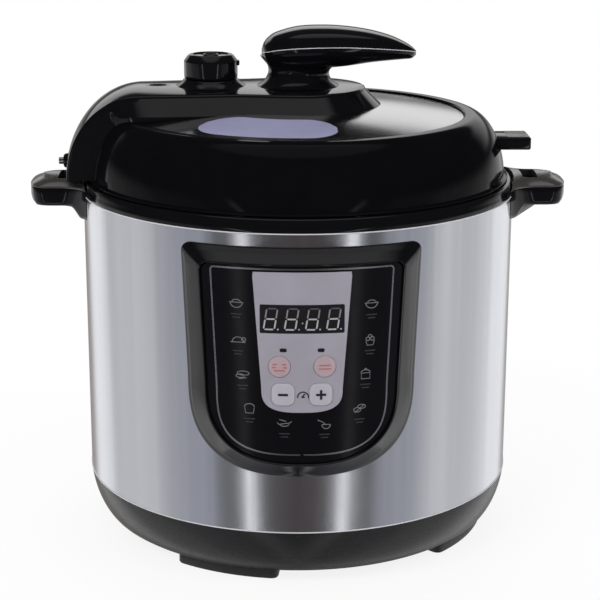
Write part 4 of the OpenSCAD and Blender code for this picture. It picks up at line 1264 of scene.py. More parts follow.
@dataclass
class Bridge:
    """The bridge over the lid: a round turret and a spine that folds over the rim."""

    lid: LidForm
    top: float = 296.5
    turret: float = 44.5
    turret_end: float = 79.0
    half: float = 37.0
    rim_half: float = 35.0
    fold_start: float = 105.0
    fold_out: float = 48.0
    fold_down: float = 56.5
    fold_length: float = 84.5
    low: float = 240.0
    edge: float = 1.7
    lean_depth: float = 10.5
    wall_thickness: float = 2.2
    blend_start: float = 8.0
    blend_end: float = -52.0
    narrow_end: float = -118.0
    deepest: float = 34.0
    sink: float = 0.6
    lowest: float = 238.7
    hole: Point2 = (6.2, 4.6)

    def half_width(self, x: float) -> float:
        """Half width of the top at a place along the spine."""
        if x >= self.blend_start:
            return math.sqrt(max(0.0, self.turret**2 - x * x))
        if x >= self.blend_end:
            t = (self.blend_start - x) / (self.blend_start - self.blend_end)
            ease = t * t * (3 - 2 * t)
            waist = min(0.0, x + 6.0) ** 2 * 0.35 + 64.0 * (1 - t)
            return math.sqrt(max(0.0, self.turret**2 - waist)) * (1 - ease) + self.half * ease
        return float(np.interp(x, (self.narrow_end, self.blend_end), (self.rim_half, self.half)))

    def spine(self, u: float) -> tuple[Vector, Vector]:
        """A point on the spine's line and the outward normal there.

        Args:
            u: Length from the lid's axis, positive towards the folded end.

        Returns:
            The point and the normal, both in the upright plane.
        """
        if u <= self.fold_start:
            return Vector((-u, 0.0, self.top)), Vector((0.0, 0.0, 1.0))
        turn, step, run = 0.0, 0.01, self.fold_start
        while run < u and turn < math.pi / 2:
            turn += step
            run += step * math.hypot(self.fold_out * math.cos(turn), self.fold_down * math.sin(turn))
        turn = min(turn, math.pi / 2)
        x = -self.fold_start - self.fold_out * math.sin(turn)
        z = self.low + self.fold_down * math.cos(turn) - max(0.0, u - run)
        normal = Vector((-math.sin(turn) / self.fold_out, 0.0, math.cos(turn) / self.fold_down)).normalized()
        return Vector((x, 0.0, z)), normal

    def flare(self, u: float) -> float:
        """How far the wall leans out over its depth."""
        return float(np.interp(u, (-60.0, 0.0, 60.0, 90.0, 112.0, 128.0), (11.0, 9.8, 8.6, 9.4, 7.0, 1.0)))

    def outline(self) -> list[Point2]:
        """The top's outline on one side, from the turret's end to the fold's end."""
        found = [polar(self.turret, 180.0 - float(a)) for a in np.linspace(0.0, self.turret_end, 34)]
        for u in np.linspace(-7.5, self.fold_start + self.fold_length, 116):
            found.append((float(u), self.half_width(-float(u))))
        return found

    def sag(self, u: float, share: float) -> float:
        """How far the top falls towards its edges."""
        return float(np.interp(u, (-43.0, 40.0, 100.0, 130.0, 200.0), (0.5, 1.0, 2.2, 3.2, 1.6))) * share**2.4

    def spot(self, u: float, v: float, depth: float) -> Vector:
        """A point at a depth below the top surface, at lengths along and across."""
        point, normal = self.spine(u)
        return Vector((point.x, v, point.z)) - normal * depth

    def wall(self, u: float, v: float, out: Point2, sign: float) -> list[Vector]:
        """One column of the wall, from the rounded edge down into the lid.

        Args:
            u: Length along the spine.
            v: Half width there.
            out: The outline's outward direction in lengths along and across.
            sign: Side of the spine.

        Returns:
            Points from the edge down.
        """
        lean, sag = self.flare(u), self.sag(u, 1.0)

        def shifted(shift: float, depth: float) -> Vector:
            return self.spot(u + out[0] * shift, sign * (v + out[1] * shift), sag + depth)

        def at(depth: float) -> Vector:
            grow = lean * min(1.0, (depth - self.edge) / self.lean_depth) + max(0.0, depth - 12.0) * 0.05
            return shifted(grow, depth)

        turns = [math.pi / 8 * k for k in range(5)]
        found = [shifted(self.edge * (math.sin(t) - 1.0), self.edge * (1 - math.cos(t))) for t in turns]
        low, high = self.edge, self.deepest
        for _ in range(22):
            middle = (low + high) / 2
            p = at(middle)
            if p.z < self.lid.height(math.hypot(p.x, p.y)) - self.sink or p.z < self.lowest:
                high = middle
            else:
                low = middle
        bend = min(high, self.edge + self.lean_depth)
        foot = max(high, bend + 0.3)
        found += [at(self.edge + (bend - self.edge) * k / 6) for k in range(1, 7)]
        found += [at(bend + (foot - bend) * k / 6) for k in range(1, 7)]
        return found

    def shell(self) -> bpy.types.Object:
        """The bridge's shell with the float's hole."""
        line = self.outline()
        outs = [(-1.0, 0.0)]
        for before, after in zip(line, [*line[2:], line[-1]]):
            run = (after[0] - before[0], after[1] - before[1])
            size = math.hypot(*run)
            outs.append((-run[1] / size, run[0] / size))
        left, right = ([self.wall(*spot, out, sign) for spot, out in zip(line, outs)] for sign in (1.0, -1.0))
        tops = [[left[0][0]] * 21]
        for i in range(1, len(line)):
            u, v = (line[i][k] - outs[i][k] * self.edge for k in (0, 1))
            shares = (1 - k / 10 for k in range(1, 20))
            across = [self.spot(u, v * s, self.sag(u, abs(s))) for s in shares]
            tops.append([left[i][0], *across, right[i][0]])
        made = Sketch()
        for rows in (tops, left, right):
            made.grid(rows)
        obj = made.made("bridge_shell", BLACK_GLOSS, 40.0)
        thicken(obj, self.wall_thickness)
        hole = Sketch()
        outline = hoop(*self.hole, 36, (FLOAT_X, 0.0))
        hole.prism([(*p, 285.0) for p in outline], [(*p, 300.0) for p in outline])
        cut(obj, [hole.made("float_tool", BLACK_GLOSS)])
        soften(obj, 26.0)
        return obj

    def float_rim(self) -> bpy.types.Object:
        """The raised rim round the float's hole."""
        rows = []
        for a, b, z in (
            (8.6, 6.2, 296.5), (8.2, 5.9, 296.9), (7.2, 5.3, 296.8), (6.3, 4.7, 295.4), (6.2, 4.6, 292.0),
            (6.6, 5.0, 292.0), (8.3, 6.0, 295.6),
        ):
            ring = hoop(a, b, 40, (FLOAT_X, 0.0))
            rows.append([(x, y, z - self.sag(-FLOAT_X, abs(y) / 36.0) - 0.35) for x, y in ring])
        made = Sketch()
        made.grid(rows, close_rows=True, close_columns=True)
        return made.made("float_rim", BLACK_GLOSS, 40.0)

    @staticmethod
    def valve_seat() -> bpy.types.Object:
        """The cone that the exhaust knob turns on."""
        profile = rounded_profile(
            [
                (9.0, 291.5, 0.0), (21.6, 295.4, 0.0), (23.6, 296.2, 0.0), (22.2, 296.9, 1.0),
                (19.6, 298.6, 2.6), (18.1, 300.6, 0.6), (17.4, 301.0, 0.3), (9.4, 301.0, 0.3),
                (9.0, 300.4, 0.0),
            ]
        )
        made = Sketch()
        made.revolve(profile, 96, (VALVE_X, 0.0))
        return made.made("valve_seat", BLACK_GLOSS, 30.0)

    @staticmethod
    def pin_boss() -> bpy.types.Object:
        """The boss in the folded end that the push pin slides in."""
        profile = (
            (2.5, -153.0), (2.5, -156.0), (3.8, -156.2), (4.6, -155.4), (5.0, -153.6), (5.6, -150.6),
            (2.5, -150.6),
        )
        made = Sketch()
        rows = [[(x, *p) for p in hoop(r, r, 32, (0.0, 246.0))] for r, x in profile]
        made.grid(rows, close_rows=True, close_columns=True)
        return made.made("pin_boss", BLACK_GLOSS, 35.0)

    def build(self) -> None:
        """Builds the bridge as one piece of the lid."""
        parts = [self.shell(), self.float_rim(), self.valve_seat(), self.pin_boss()]
        seat(joined("lid_bridge_cover", parts), "lid", "black_gloss", ["lid_bridge"])


@dataclass
class PlainLabel:
    """A blank oval label that follows the crown."""

    lid: LidForm
    middle: float = 82.5
    half: float = 19.5
    first: float = -121.5
    last: float = -87.5

    def build(self) -> None:
        """Builds the label."""
        across, along = 10, 40
        low: list[list[Point3]] = []
        high: list[list[Point3]] = []
        cap = math.degrees(self.half / self.middle)
        for i in range(along + 1):
            a = self.first - cap + (self.last - self.first + 2 * cap) * i / along
            past = max(self.first - a, a - self.last, 0.0) / cap
            wide = self.half * math.sqrt(max(0.0, 1 - past * past))
            low.append([])
            high.append([])
            for k in range(across + 1):
                r = self.middle + wide * (2 * k / across - 1)
                edge = min(1.0, (wide - abs(r - self.middle)) / 0.6) if wide > 0 else 0.0
                low[-1].append((*polar(r, a), self.lid.crown(r) + 0.08))
                high[-1].append((*polar(r, a), self.lid.crown(r) + 0.12 + 0.2 * edge))
        made = Sketch()
        made.grid(high)
        made.grid([row[::-1] for row in low])
        sides = [[row[0] for row in rows] + [row[-1] for row in reversed(rows)] for rows in (low, high)]
        made.grid(sides, close_columns=True)
        obj = made.made("plain_label", LABEL_FILM, 40.0, 0.002)
        seat(obj, "lid", "label_blank", ["blank_label"])


@dataclass
class Grip:
    """The lever-shaped grip: upper shell, lower shell and the waisted column."""

    seam: float = 324.0
    rows: tuple[tuple[float, float, float, float, float], ...] = (
        (-24.0, 3.6, -7.0, -5.4, -3.8),
        (-22.6, 9.5, -10.5, -4.9, 0.4),
        (-19.5, 15.5, -13.0, -4.0, 4.0),
        (-14.0, 21.0, -15.0, -2.4, 7.2),
        (0.0, 26.2, -16.0, -0.6, 10.8),
        (17.0, 27.0, -15.4, 0.0, 11.6),
        (32.0, 25.5, -14.2, -0.1, 10.8),
        (47.0, 22.5, -12.0, -1.0, 8.6),
        (60.0, 18.0, -10.8, -2.2, 5.2),
        (69.0, 13.0, -10.2, -3.4, 1.4),
        (74.5, 8.0, -9.8, -4.5, -1.8),
        (77.4, 3.0, -7.8, -5.6, -4.4),
    )

    def stations(self) -> list[tuple[float, ...]]:
        """The grip's stations, made dense."""
        return smooth_curve(self.rows, 6)

    def upper(self) -> bpy.types.Object:
        """The upper shell with its facet above the seam, joined with the painted seam highlight."""
        rings = []
        turns = [math.pi * k / 20 for k in range(1, 20)]
        for x, w, _, s, t in self.stations():
            rise, base = t - s, self.seam + s
            facet = min(3.4, rise * 0.36)
            inset = facet * 0.62
            inner_w, inner_h = w - inset - 0.25, rise - facet - 0.75
            side = [(w, base + 0.2), (w, base + 0.5), (w - inset, base + 0.5 + facet)]
            crown = [
                (-inner_w * powered(math.cos(a), 0.8), base + 0.55 + facet + inner_h * math.sin(a) ** 0.86)
                for a in turns
            ]
            ring = [(-y, z) for y, z in side] + crown + side[::-1]
            rings.append([(x, y, z) for y, z in ring])
        made = Sketch()
        made.solid(rings)
        return joined("grip_cover", [made.made("grip_cover", BLACK_GLOSS, 26.0), self.seam_line()])

    def seam_line(self) -> bpy.types.Object:
        """A pale bead along the seam between the two shells, a painted highlight of the seam's edge."""
        edge = [(x, w, self.seam + s + 0.05) for x, w, _, s, _ in self.stations()]
        loop = edge + [(x, -w, z) for x, w, z in reversed(edge)]
        section = ((-0.3, -0.22), (0.14, -0.22), (0.14, 0.22), (-0.3, 0.22))
        rows = [[(x, y + math.copysign(out, y), z + up) for out, up in section] for x, y, z in loop]
        made = Sketch()
        made.grid(rows, close_rows=True, close_columns=True)
        return made.made("seam_line", PAINTED_HIGHLIGHT_EDGE, 50.0)

    def lower(self) -> bpy.types.Object:
        """The lower shell."""
        rings = []
        turns = [math.pi * k / 22 for k in range(23)]
        for x, w, b, s, _ in self.stations():
            base, depth = self.seam + s, b - s
            ys = [(w - 0.3) * powered(math.cos(a), 0.72) for a in turns]
            zs = [base + depth * math.sin(a) ** 0.9 for a in turns]
            rings.append([(x, y, z) for y, z in zip(ys, zs)])
        made = Sketch()
        made.solid(rings)
        return made.made("grip_under", BLACK_GLOSS, 30.0)

    @staticmethod
    def column() -> bpy.types.Object:
        """The column that widens at its foot and into the grip."""
        keys = (
            (296.62, 27.0, 27.0, 0.0), (297.2, 25.8, 25.8, 0.0), (298.6, 23.7, 23.7, 0.0),
            (300.6, 21.9, 21.9, 0.0), (303.0, 20.6, 20.6, 0.1), (305.6, 20.1, 20.0, 0.4),
            (308.0, 20.9, 20.2, 1.2), (310.2, 23.2, 21.2, 2.8), (312.2, 27.2, 23.0, 5.2),
            (314.0, 32.0, 24.0, 8.4), (316.0, 36.5, 23.6, 11.4),
        )
        levels = smooth_curve(keys, 3)
        made = Sketch()
        made.solid([[(*p, z) for p in hoop(a, b, 72, (shift, 0.0))] for z, a, b, shift in levels])
        return made.made("grip_waist", BLACK_GLOSS, 40.0)

    def build(self) -> None:
        """Builds the three pieces and puts them on the lid."""
        seat(self.upper(), "lid", "black_gloss", ["grip_upper"])
        seat(self.lower(), "lid", "black_gloss", ["grip_lower"])
        seat(self.column(), "lid", "black_gloss", ["grip_column"])


class ExhaustKnob:
    """The turning valve knob with its chamfered cap."""

    @staticmethod
    def build() -> None:
        """Builds the knob and its pointer."""
        profile = rounded_profile(
            [
                (7.6, 311.3, 0.0), (7.6, 301.3, 0.0), (17.2, 301.3, 0.5), (17.6, 302.4, 0.6),
                (17.6, 312.8, 0.6), (14.6, 316.7, 0.9), (12.4, 317.1, 0.4), (11.6, 316.2, 0.3),
                (5.6, 316.2, 0.3), (4.9, 317.0, 0.3), (3.9, 317.0, 0.3), (3.5, 315.4, 0.3),
                (0.0, 315.2, 0.0), (0.0, 311.3, 0.0),
            ],
            3,
        )
        made = Sketch()
        made.revolve(profile, 96, (VALVE_X, 0.0))
        knob = made.made("knob_cap", BLACK_GLOSS, 28.0)
        corners = (VALVE_X + 15.5, -3.0, 309.6), (VALVE_X + 18.9, 3.0, 312.8)
        pointer = rounded_block(*corners, 0.8, "knob_pointer", BLACK_GLOSS)
        seat(joined("exhaust_knob", [knob, pointer]), "exhaust_valve", "black_gloss", ["valve_knob"])


# ---------------------------------------------------------------- control panel


@dataclass
class Shield:
    """The panel's shield outline: level top, tapering sides and a full, round bottom."""

    top_half: float
    low_half: float
    top: float
    low: float
    bottom: float
    corner: float
    power: float

    def points(self) -> list[Point2]:
        """The outline's points, clockwise seen from the front."""
        depth = self.low - self.bottom
        right = [(q[1], self.low - q[0]) for q in superquarter(depth, self.low_half, self.power, 36)]
        found = right + [(-x, z) for x, z in reversed(right[:-1])]
        climb = self.top - self.corner - self.low
        lean = self.top_half - self.low_half
        shares = [float(t) for t in np.linspace(0.06, 0.94, 12)]
        found += [(-(self.low_half + lean * t), self.low + climb * t) for t in shares]
        found += arc((-self.top_half + self.corner, self.top - self.corner), self.corner, 180.0, 90.0, 10)
        reach = self.top_half - self.corner
        found += [(float(x), self.top) for x in np.linspace(-reach, reach, 30)[1:-1]]
        found += arc((self.top_half - self.corner, self.top - self.corner), self.corner, 90.0, 0.0, 10)
        found += [(self.low_half + lean * t, self.low + climb * t) for t in reversed(shares)]
        return found


def bezel_line(side: float, top: float, bottom: float, corner: float, power: float) -> list[Point2]:
    """The bezel's outline drawn in at its sides, top and bottom."""
    return Shield(72.7 - side, 69.6 - side, 220.5 - top, 137.0, 76.0 + bottom, corner, power).points()


class PanelPrint:
    """Thin printed shapes laid on the panel's curve."""

    def __init__(self, radius: float, depth: float) -> None:
        """Starts a print.

        Args:
            radius: Radius that the print lies on.
            depth: Thickness of the print.
        """
        self.sketch = Sketch()
        self.low = radius
        self.high = radius + depth

    def patch(self, outline: Sequence[Point2]) -> None:
        """Adds a small filled shape."""
        self.sketch.prism(wrapped(outline, self.low), wrapped(outline, self.high))

    def stroke(self, path: Sequence[Point2], width: float, closed: bool = False) -> None:
        """Adds a line of a given width.

        Args:
            path: The line's points.
            width: Its width.
            closed: Whether it comes back to its start.
        """
        spots = [np.array(p, float) for p in path]
        left, right = [], []
        count = len(spots)
        for i, here in enumerate(spots):
            before = spots[i - 1] if (i or closed) else here
            after = spots[(i + 1) % count] if (i < count - 1 or closed) else here
            run = after - before
            run = run / (np.linalg.norm(run) or 1.0)
            out = np.array((-run[1], run[0])) * width / 2
            left.append(here + out)
            right.append(here - out)
        rows = [
            [wrap(*a, self.low), *wrapped((a, b), self.high), wrap(*b, self.low)]
            for a, b in zip(left, right)
        ]
        self.sketch.grid(rows, close_rows=closed, close_columns=True)
        if not closed:
            self.sketch.face(rows[0])
            self.sketch.face(rows[-1])

    def made(self, name: str, finish: Finish) -> bpy.types.Object:
        """Turns the print into an object."""
        return self.sketch.made(name, finish, 40.0, 0.001)


@dataclass
class FoodIcon:
    """A small generic food pictogram with a caption bar under it."""

    x: float
    z: float
    strokes: tuple[tuple[Point2, ...], ...]

    def draw(self, icons: PanelPrint, captions: PanelPrint) -> None:
        """Draws the icon.

        Args:
            icons: The print for the pictogram.
            captions: The print for the bars below it.
        """
        for stroke in self.strokes:
            path = [(self.x + px, self.z + pz) for px, pz in stroke]
            closed = len(path) > 3 and stroke[0] == stroke[-1]
            icons.stroke(path[:-1] if closed else path, 0.42, closed)
        for level, half in ((-6.6, 3.2), (-8.6, 2.2)):
            captions.stroke([(self.x - half, self.z + level), (self.x + half, self.z + level)], 0.7)


def oval(
    cx: float, cz: float, a: float, b: float, start: float = 0.0, end: float = 360.0, steps: int = 16
) -> tuple[Point2, ...]:
    """Points on an ellipse, or on a part of one between two angles in degrees."""
    found = [(cx + a * x, cz + b * z) for x, z in arc((0.0, 0.0), 1.0, start, end, steps)]
    if end - start == 360.0:
        found[-1] = found[0]
    return tuple(found)


BOWL = (
    oval(0.0, 0.6, 3.6, 3.2, 180.0, 360.0, 12),
    ((-4.2, 0.6), (4.2, 0.6)),
    oval(0.0, 0.9, 2.6, 1.5, 0.0, 180.0, 8),
)
ROAST = (oval(0.0, -1.0, 3.4, 3.0, 0.0, 180.0, 12), ((-4.4, -1.2), (4.4, -1.2)), oval(3.4, 0.6, 1.2, 1.2))
BEAN = (oval(0.4, 1.2, 3.6, 1.3), oval(-1.4, -0.6, 2.6, 1.1, 20.0, 340.0, 12), ((-2.4, -2.4), (2.4, -1.6)))
CAKE = (((-2.8, 0.4), (-2.4, -3.0), (2.4, -3.0), (2.8, 0.4)), oval(0.0, 0.8, 3.0, 2.2, 0.0, 180.0, 10))
PUDDING = (
    ((-2.6, -0.4), (-1.8, -3.2), (1.8, -3.2), (2.6, -0.4)),
    oval(-1.3, 0.8, 1.2, 1.1),
    oval(1.3, 0.8, 1.2, 1.1),
    oval(0.0, 2.3, 1.1, 1.0),
)
LOAF = (
    ((-2.6, -3.0), (-2.6, 0.6), (2.6, 0.6), (2.6, -3.0), (-2.6, -3.0)),
    oval(0.0, 0.8, 2.8, 1.8, 0.0, 180.0, 10),
    oval(0.0, 3.0, 0.5, 0.5),
)
RIBS = (oval(-1.4, -0.6, 2.2, 1.4), oval(1.2, 1.4, 2.4, 1.3), ((-3.0, -2.4), (3.0, 2.6)))
LADLE = (
    ((-4.2, 2.6), (-1.0, 1.2), (0.4, -0.2)),
    oval(1.0, -0.4, 2.6, 2.6, 180.0, 360.0, 10),
    ((-1.6, -0.4), (3.6, -0.4)),
)
WOK = (
    ((-4.4, 0.6), (-3.4, -0.6), (3.4, 0.4), (4.4, 1.4)),
    oval(0.0, -0.2, 2.8, 1.6, 200.0, 350.0, 10),
    ((-3.0, 2.4), (1.0, 1.4)),
)


@dataclass(frozen=True)
class Key:
    """A raised button of the panel and the print on it."""

    body: str
    x: float
    z: float
    finish: Finish
    steps: tuple[Point2, ...]
    opening: float
    square: bool = False
    bars: tuple[tuple[Point2, Point2], ...] = ()
    bar_width: float = 1.5
    bar_lift: float = 1.12
    ink: Finish = INK_DARK

    def outline(self, half: float, corner: float) -> list[Point2]:
        """The button's outline on the panel by its half width and, if square, its corners."""
        plan = round_rect(half, half, corner) if self.square else hoop(half, half, 48)
        return [(self.x + x, self.z + z) for x, z in plan]


def level_bars(*bars: Point2) -> tuple[tuple[Point2, Point2], ...]:
    """Level lines of print by their height and half length."""
    return tuple(((-half, level), (half, level)) for level, half in bars)


ROUND_STEPS = ((6.68, -5.0), (6.68, 0.45), (6.45, 0.8), (5.9, 1.0), (4.2, 1.12), (2.0, 1.18))
SQUARE_STEPS = ((7.08, -5.0), (7.08, 0.4), (6.8, 0.8), (6.1, 1.02), (4.2, 1.14), (2.0, 1.18))
ROUND_KEY = {"z": 150.5, "finish": BUTTON_ROSE, "steps": ROUND_STEPS, "opening": 6.85, "ink": INK_RED}
ROUND_KEY |= {"bar_width": 0.75, "bar_lift": 1.1}
SQUARE_KEY = {"z": 133.0, "finish": BUTTON_PALE, "steps": SQUARE_STEPS, "opening": 7.25, "square": True}
KEYS = (
    Key("cancel", -13.6, bars=level_bars((1.5, 3.9), (-0.4, 4.3), (-2.3, 3.2)), **ROUND_KEY),
    Key("timer", 13.6, bars=level_bars((0.9, 3.4), (-1.3, 3.6)), **ROUND_KEY),
    Key("minus", -11.4, bars=level_bars((0.0, 3.0)), **SQUARE_KEY),
    Key("plus", 11.4, bars=(*level_bars((0.0, 3.0)), ((0.0, -3.0), (0.0, 3.0))), **SQUARE_KEY),
)


@dataclass
class ControlPanel:
    """The bezel, the films, the display and the buttons."""

    face: float = 155.0
    back: float = 143.25
    film_back: float = 152.2
    print_depth: float = 0.12
    display_z: float = 180.0
    digit_xs: tuple[float, ...] = (-18.75, -6.25, 6.25, 18.75)
    icons: tuple[FoodIcon, ...] = (
        FoodIcon(-39.1, 188.6, BOWL), FoodIcon(-38.2, 165.8, ROAST), FoodIcon(-35.6, 144.2, BEAN),
        FoodIcon(-31.6, 123.4, CAKE), FoodIcon(41.4, 187.8, BOWL), FoodIcon(40.7, 165.5, PUDDING),
        FoodIcon(38.2, 144.4, LOAF), FoodIcon(34.8, 122.6, RIBS), FoodIcon(-10.6, 114.6, WOK),
        FoodIcon(13.6, 114.1, LADLE),
    )

    def bezel(self) -> None:
        """Builds the sloped frame."""
        steps = (
            (0.0, 0.0, 0.0, 6.0, 2.8, self.back), (0.0, 0.0, 0.0, 6.0, 2.8, 143.6),
            (0.3, 0.3, 0.3, 5.9, 2.8, 144.1), (3.0, 2.6, 3.8, 5.5, 2.8, 147.1),
            (3.7, 3.1, 4.7, 5.4, 2.8, 147.7), (10.2, 6.5, 11.1, 5.0, 2.6, 156.2),
            (10.8, 6.9, 11.6, 4.8, 2.6, 156.7),
            (11.2, 7.2, 12.0, 4.6, 2.6, 156.9), (11.7, 7.6, 12.4, 4.4, 2.6, 156.8),
            (12.0, 8.0, 12.8, 4.2, 2.6, 156.4), (12.15, 8.3, 13.0, 4.1, 2.6, 152.4),
            (11.6, 7.8, 12.4, 4.3, 2.6, self.back),
        )
        made = Sketch()
        made.grid([wrapped(bezel_line(*line), r) for *line, r in steps], close_rows=True, close_columns=True)
        seat(made.made("panel_frame", BLACK_GLOSS, 24.0), "base", "black_gloss", ["panel_bezel"])

    @staticmethod
    def filled(
        outer: Sequence[Point2], radius: float, depth: float, name: str, finish: Finish
    ) -> bpy.types.Object:
        """A curved sheet that fills an outline.

        Args:
            outer: The outline.
            radius: Radius of its back.
            depth: Its thickness.
            name: The object's name.
            finish: Its finish.

        Returns:
            The sheet.
        """
        bottom, top = min(z for _, z in outer) + 0.001, max(z for _, z in outer) - 0.001
        sides = list(zip(outer, [*outer[1:], outer[0]]))
        rows: list[list[Point2]] = []
        for level in bottom + (top - bottom) * np.linspace(0.0, 1.0, 64) ** 1.8:
            hits = [
                x0 + (x1 - x0) * (level - z0) / (z1 - z0)
                for (x0, z0), (x1, z1) in sides
                if (z0 - level) * (z1 - level) < 0
            ]
            rows.append([(float(x), float(level)) for x in np.linspace(min(hits), max(hits), 41)])
        rim = rows[0] + [row[-1] for row in rows[1:-1]] + rows[-1][::-1] + [row[0] for row in rows[-2:0:-1]]
        made = Sketch()
        made.grid([wrapped(row, radius + depth) for row in rows])
        made.grid([wrapped(row, radius)[::-1] for row in rows])
        made.grid([wrapped(rim, radius), wrapped(rim, radius + depth)], close_columns=True)
        return made.made(name, finish, 35.0, 0.002)

    def films(self) -> None:
        """Builds the black face, the trim line and the centre plate."""
        plan = bezel_line(12.2, 8.4, 13.2, 4.0, 2.6)
        depth = self.face - self.film_back
        face = self.filled(plan, self.film_back, depth, "panel_film_black", PANEL_FILM)
        trim = PanelPrint(self.face - 0.05, 0.3)
        trim.stroke(bezel_line(18.3, 10.3, 18.5, 2.0, 3.2), 0.95, True)
        notch = PanelPrint(self.face - 0.05, 0.42)
        notch.patch([(-1.6, 93.4), (0.0, 96.2), (1.6, 93.4)])
        line = joined("panel_trim_line", [trim.made("trim", TRIM_SILVER), notch.made("notch", PANEL_FILM)])
        seat(line, "base", "trim_silver", ["panel_trim"])
        outline = Shield(29.6, 24.4, 208.5, 136.6, 121.6, 0.5, 3.0).points()
        centre = self.filled(outline, self.face + 0.02, 0.45, "panel_centre_plate", LAVENDER_FILM)
        for sheet in (face, centre):
            cut(sheet, (self.opening(key) for key in KEYS))
            soften(sheet, 35.0)
        seat(face, "base", "film_black", ["panel_face"])
        seat(centre, "base", "plate_lavender", ["centre_plate"])

    @staticmethod
    def opening(key: Key) -> bpy.types.Object:
        """The shape that cuts a button's opening, a clearance wider than the button."""
        tool = PanelPrint(149.0, 10.0)
        tool.patch(key.outline(key.opening, 4.5))
        return tool.made("button_tool", PANEL_FILM)

    def display(self) -> None:
        """Builds the window and its four digits."""
        rect = [(x, z + self.display_z) for x, z in round_rect(25.2, 8.8, 0.7)]
        lens = self.filled(rect, 152.3, 3.28, "display_window", LENS_DARK)
        seat(lens, "base", "lens_smoke", ["display_lens"])
        parts = []
        for name, finish, segments in (
            ("digits_low", SEGMENT_PALE, "cdeg."),
            ("digits_sides", SEGMENT_MID, "bf"),
            ("digits_top", SEGMENT_DIM, "a"),
        ):
            sheet = PanelPrint(155.5, 0.18)
            for x in self.digit_xs:
                for outline in self.digit_segments(segments):
                    sheet.patch([(x + px, self.display_z + pz) for px, pz in outline])
            if "." in segments:
                sheet.patch(arc((0.2, self.display_z - 2.4), 0.42, 0.0, 330.0, 11))
            parts.append(sheet.made(name, finish))
        seat(joined("display_digits", parts), "base", "led_grey", ["led_display"])

    @staticmethod
    def digit_segments(names: str) -> list[list[Point2]]:
        """Outlines of a slanted digit's segments.

        Args:
            names: Which of the segments a to g, and . for the point.

        Returns:
            The outlines about the digit's middle.
        """
        half_w, half_h, thick, slant, gap = 3.2, 6.4, 0.46, 0.16, 0.35
        end = half_w - 0.45

        def bar(a: Point2, b: Point2) -> list[Point2]:
            along = (thick, 0.0) if a[1] == b[1] else (0.0, thick)
            side = along[::-1]
            shape = [a]
            shape += [(a[0] + along[0] + side[0], a[1] + along[1] + side[1])]
            shape += [(b[0] - along[0] + side[0], b[1] - along[1] + side[1]), b]
            shape += [(b[0] - along[0] - side[0], b[1] - along[1] - side[1])]
            shape += [(a[0] + along[0] - side[0], a[1] + along[1] - side[1])]
            return [(x + z * slant, z) for x, z in shape]

        bars = {
            "a": ((-end, half_h), (end, half_h)),
            "g": ((-end, 0.0), (end, 0.0)),
            "d": ((-end, -half_h), (end, -half_h)),
            "b": ((half_w, gap), (half_w, half_h - gap)),
            "f": ((-half_w, gap), (-half_w, half_h - gap)),
            "c": ((half_w, gap - half_h), (half_w, -gap)),
            "e": ((-half_w, gap - half_h), (-half_w, -gap)),
        }
        found = [bar(*ends) for name, ends in bars.items() if name in names]
        if "." in names:
            found.append(arc((half_w + 1.1, 0.1 - half_h), 0.5, 0.0, 330.0, 11))
        return found

    def signs(self) -> None:
        """Builds the icons, captions, lamps and signs."""
        icons = PanelPrint(self.face, 0.14)
        captions = PanelPrint(self.face, self.print_depth)
        for icon in self.icons:
            icon.draw(icons, captions)
        parts = [icons.made("icons", ICON_PRINT), captions.made("captions", ICON_FAINT)]
        seat(joined("panel_pictograms", parts), "base", "film_black")
        lamps = Sketch()
        for side in (-1.0, 1.0):
            outline = [(side * 11.3 + x, 160.8 + z) for x, z in round_rect(2.1, 1.15, 1.0)]
            lamps.prism(wrapped(outline, 150.0), wrapped(outline, 155.62))
        seat(lamps.made("status_lamps", LENS_DARK, 40.0, 0.002), "base", "lens_smoke", ["indicator_lamps"])
        dial = PanelPrint(self.face + 0.44, 0.1)
        dial.stroke(oval(0.6, 131.4, 3.3, 3.3, -8.0, 188.0, 18), 0.75)
        dial.stroke([(0.1, 131.6), (1.7, 133.6)], 0.8)
        dial.stroke([(-0.4, 131.4), (1.6, 131.4)], 0.8)
        seat(dial.made("pressure_sign", INK_DARK), "base", "plate_lavender")

    def buttons(self) -> None:
        """Builds the four raised buttons."""
        for key in KEYS:
            made = Sketch()
            rings = [wrapped(key.outline(half, half * 0.62), self.face + lift) for half, lift in key.steps]
            made.solid(rings)
            cap = made.made(f"{key.body}_cap", key.finish, 35.0, 0.002)
            marks = PanelPrint(self.face + key.bar_lift, self.print_depth)
            for bar in key.bars:
                marks.stroke([(key.x + x, key.z + z) for x, z in bar], key.bar_width)
            obj = joined(f"{key.body}_key", [cap, marks.made("marks", key.ink)])
            seat(obj, key.body, "button_white", [f"{key.body}_button"])

    def build(self) -> None:
        """Builds the whole panel."""
        self.bezel()
        self.films()
        self.display()
        self.signs()
        self.buttons()


# ---------------------------------------------------------------- inner pieces


@dataclass(frozen=True)
class Dressing:
    """How a CAD node's copy is finished."""

    node: str
    body: str
    slot: str
    finish: Finish
    angle: float = 30.0
    edge: float = 0.0


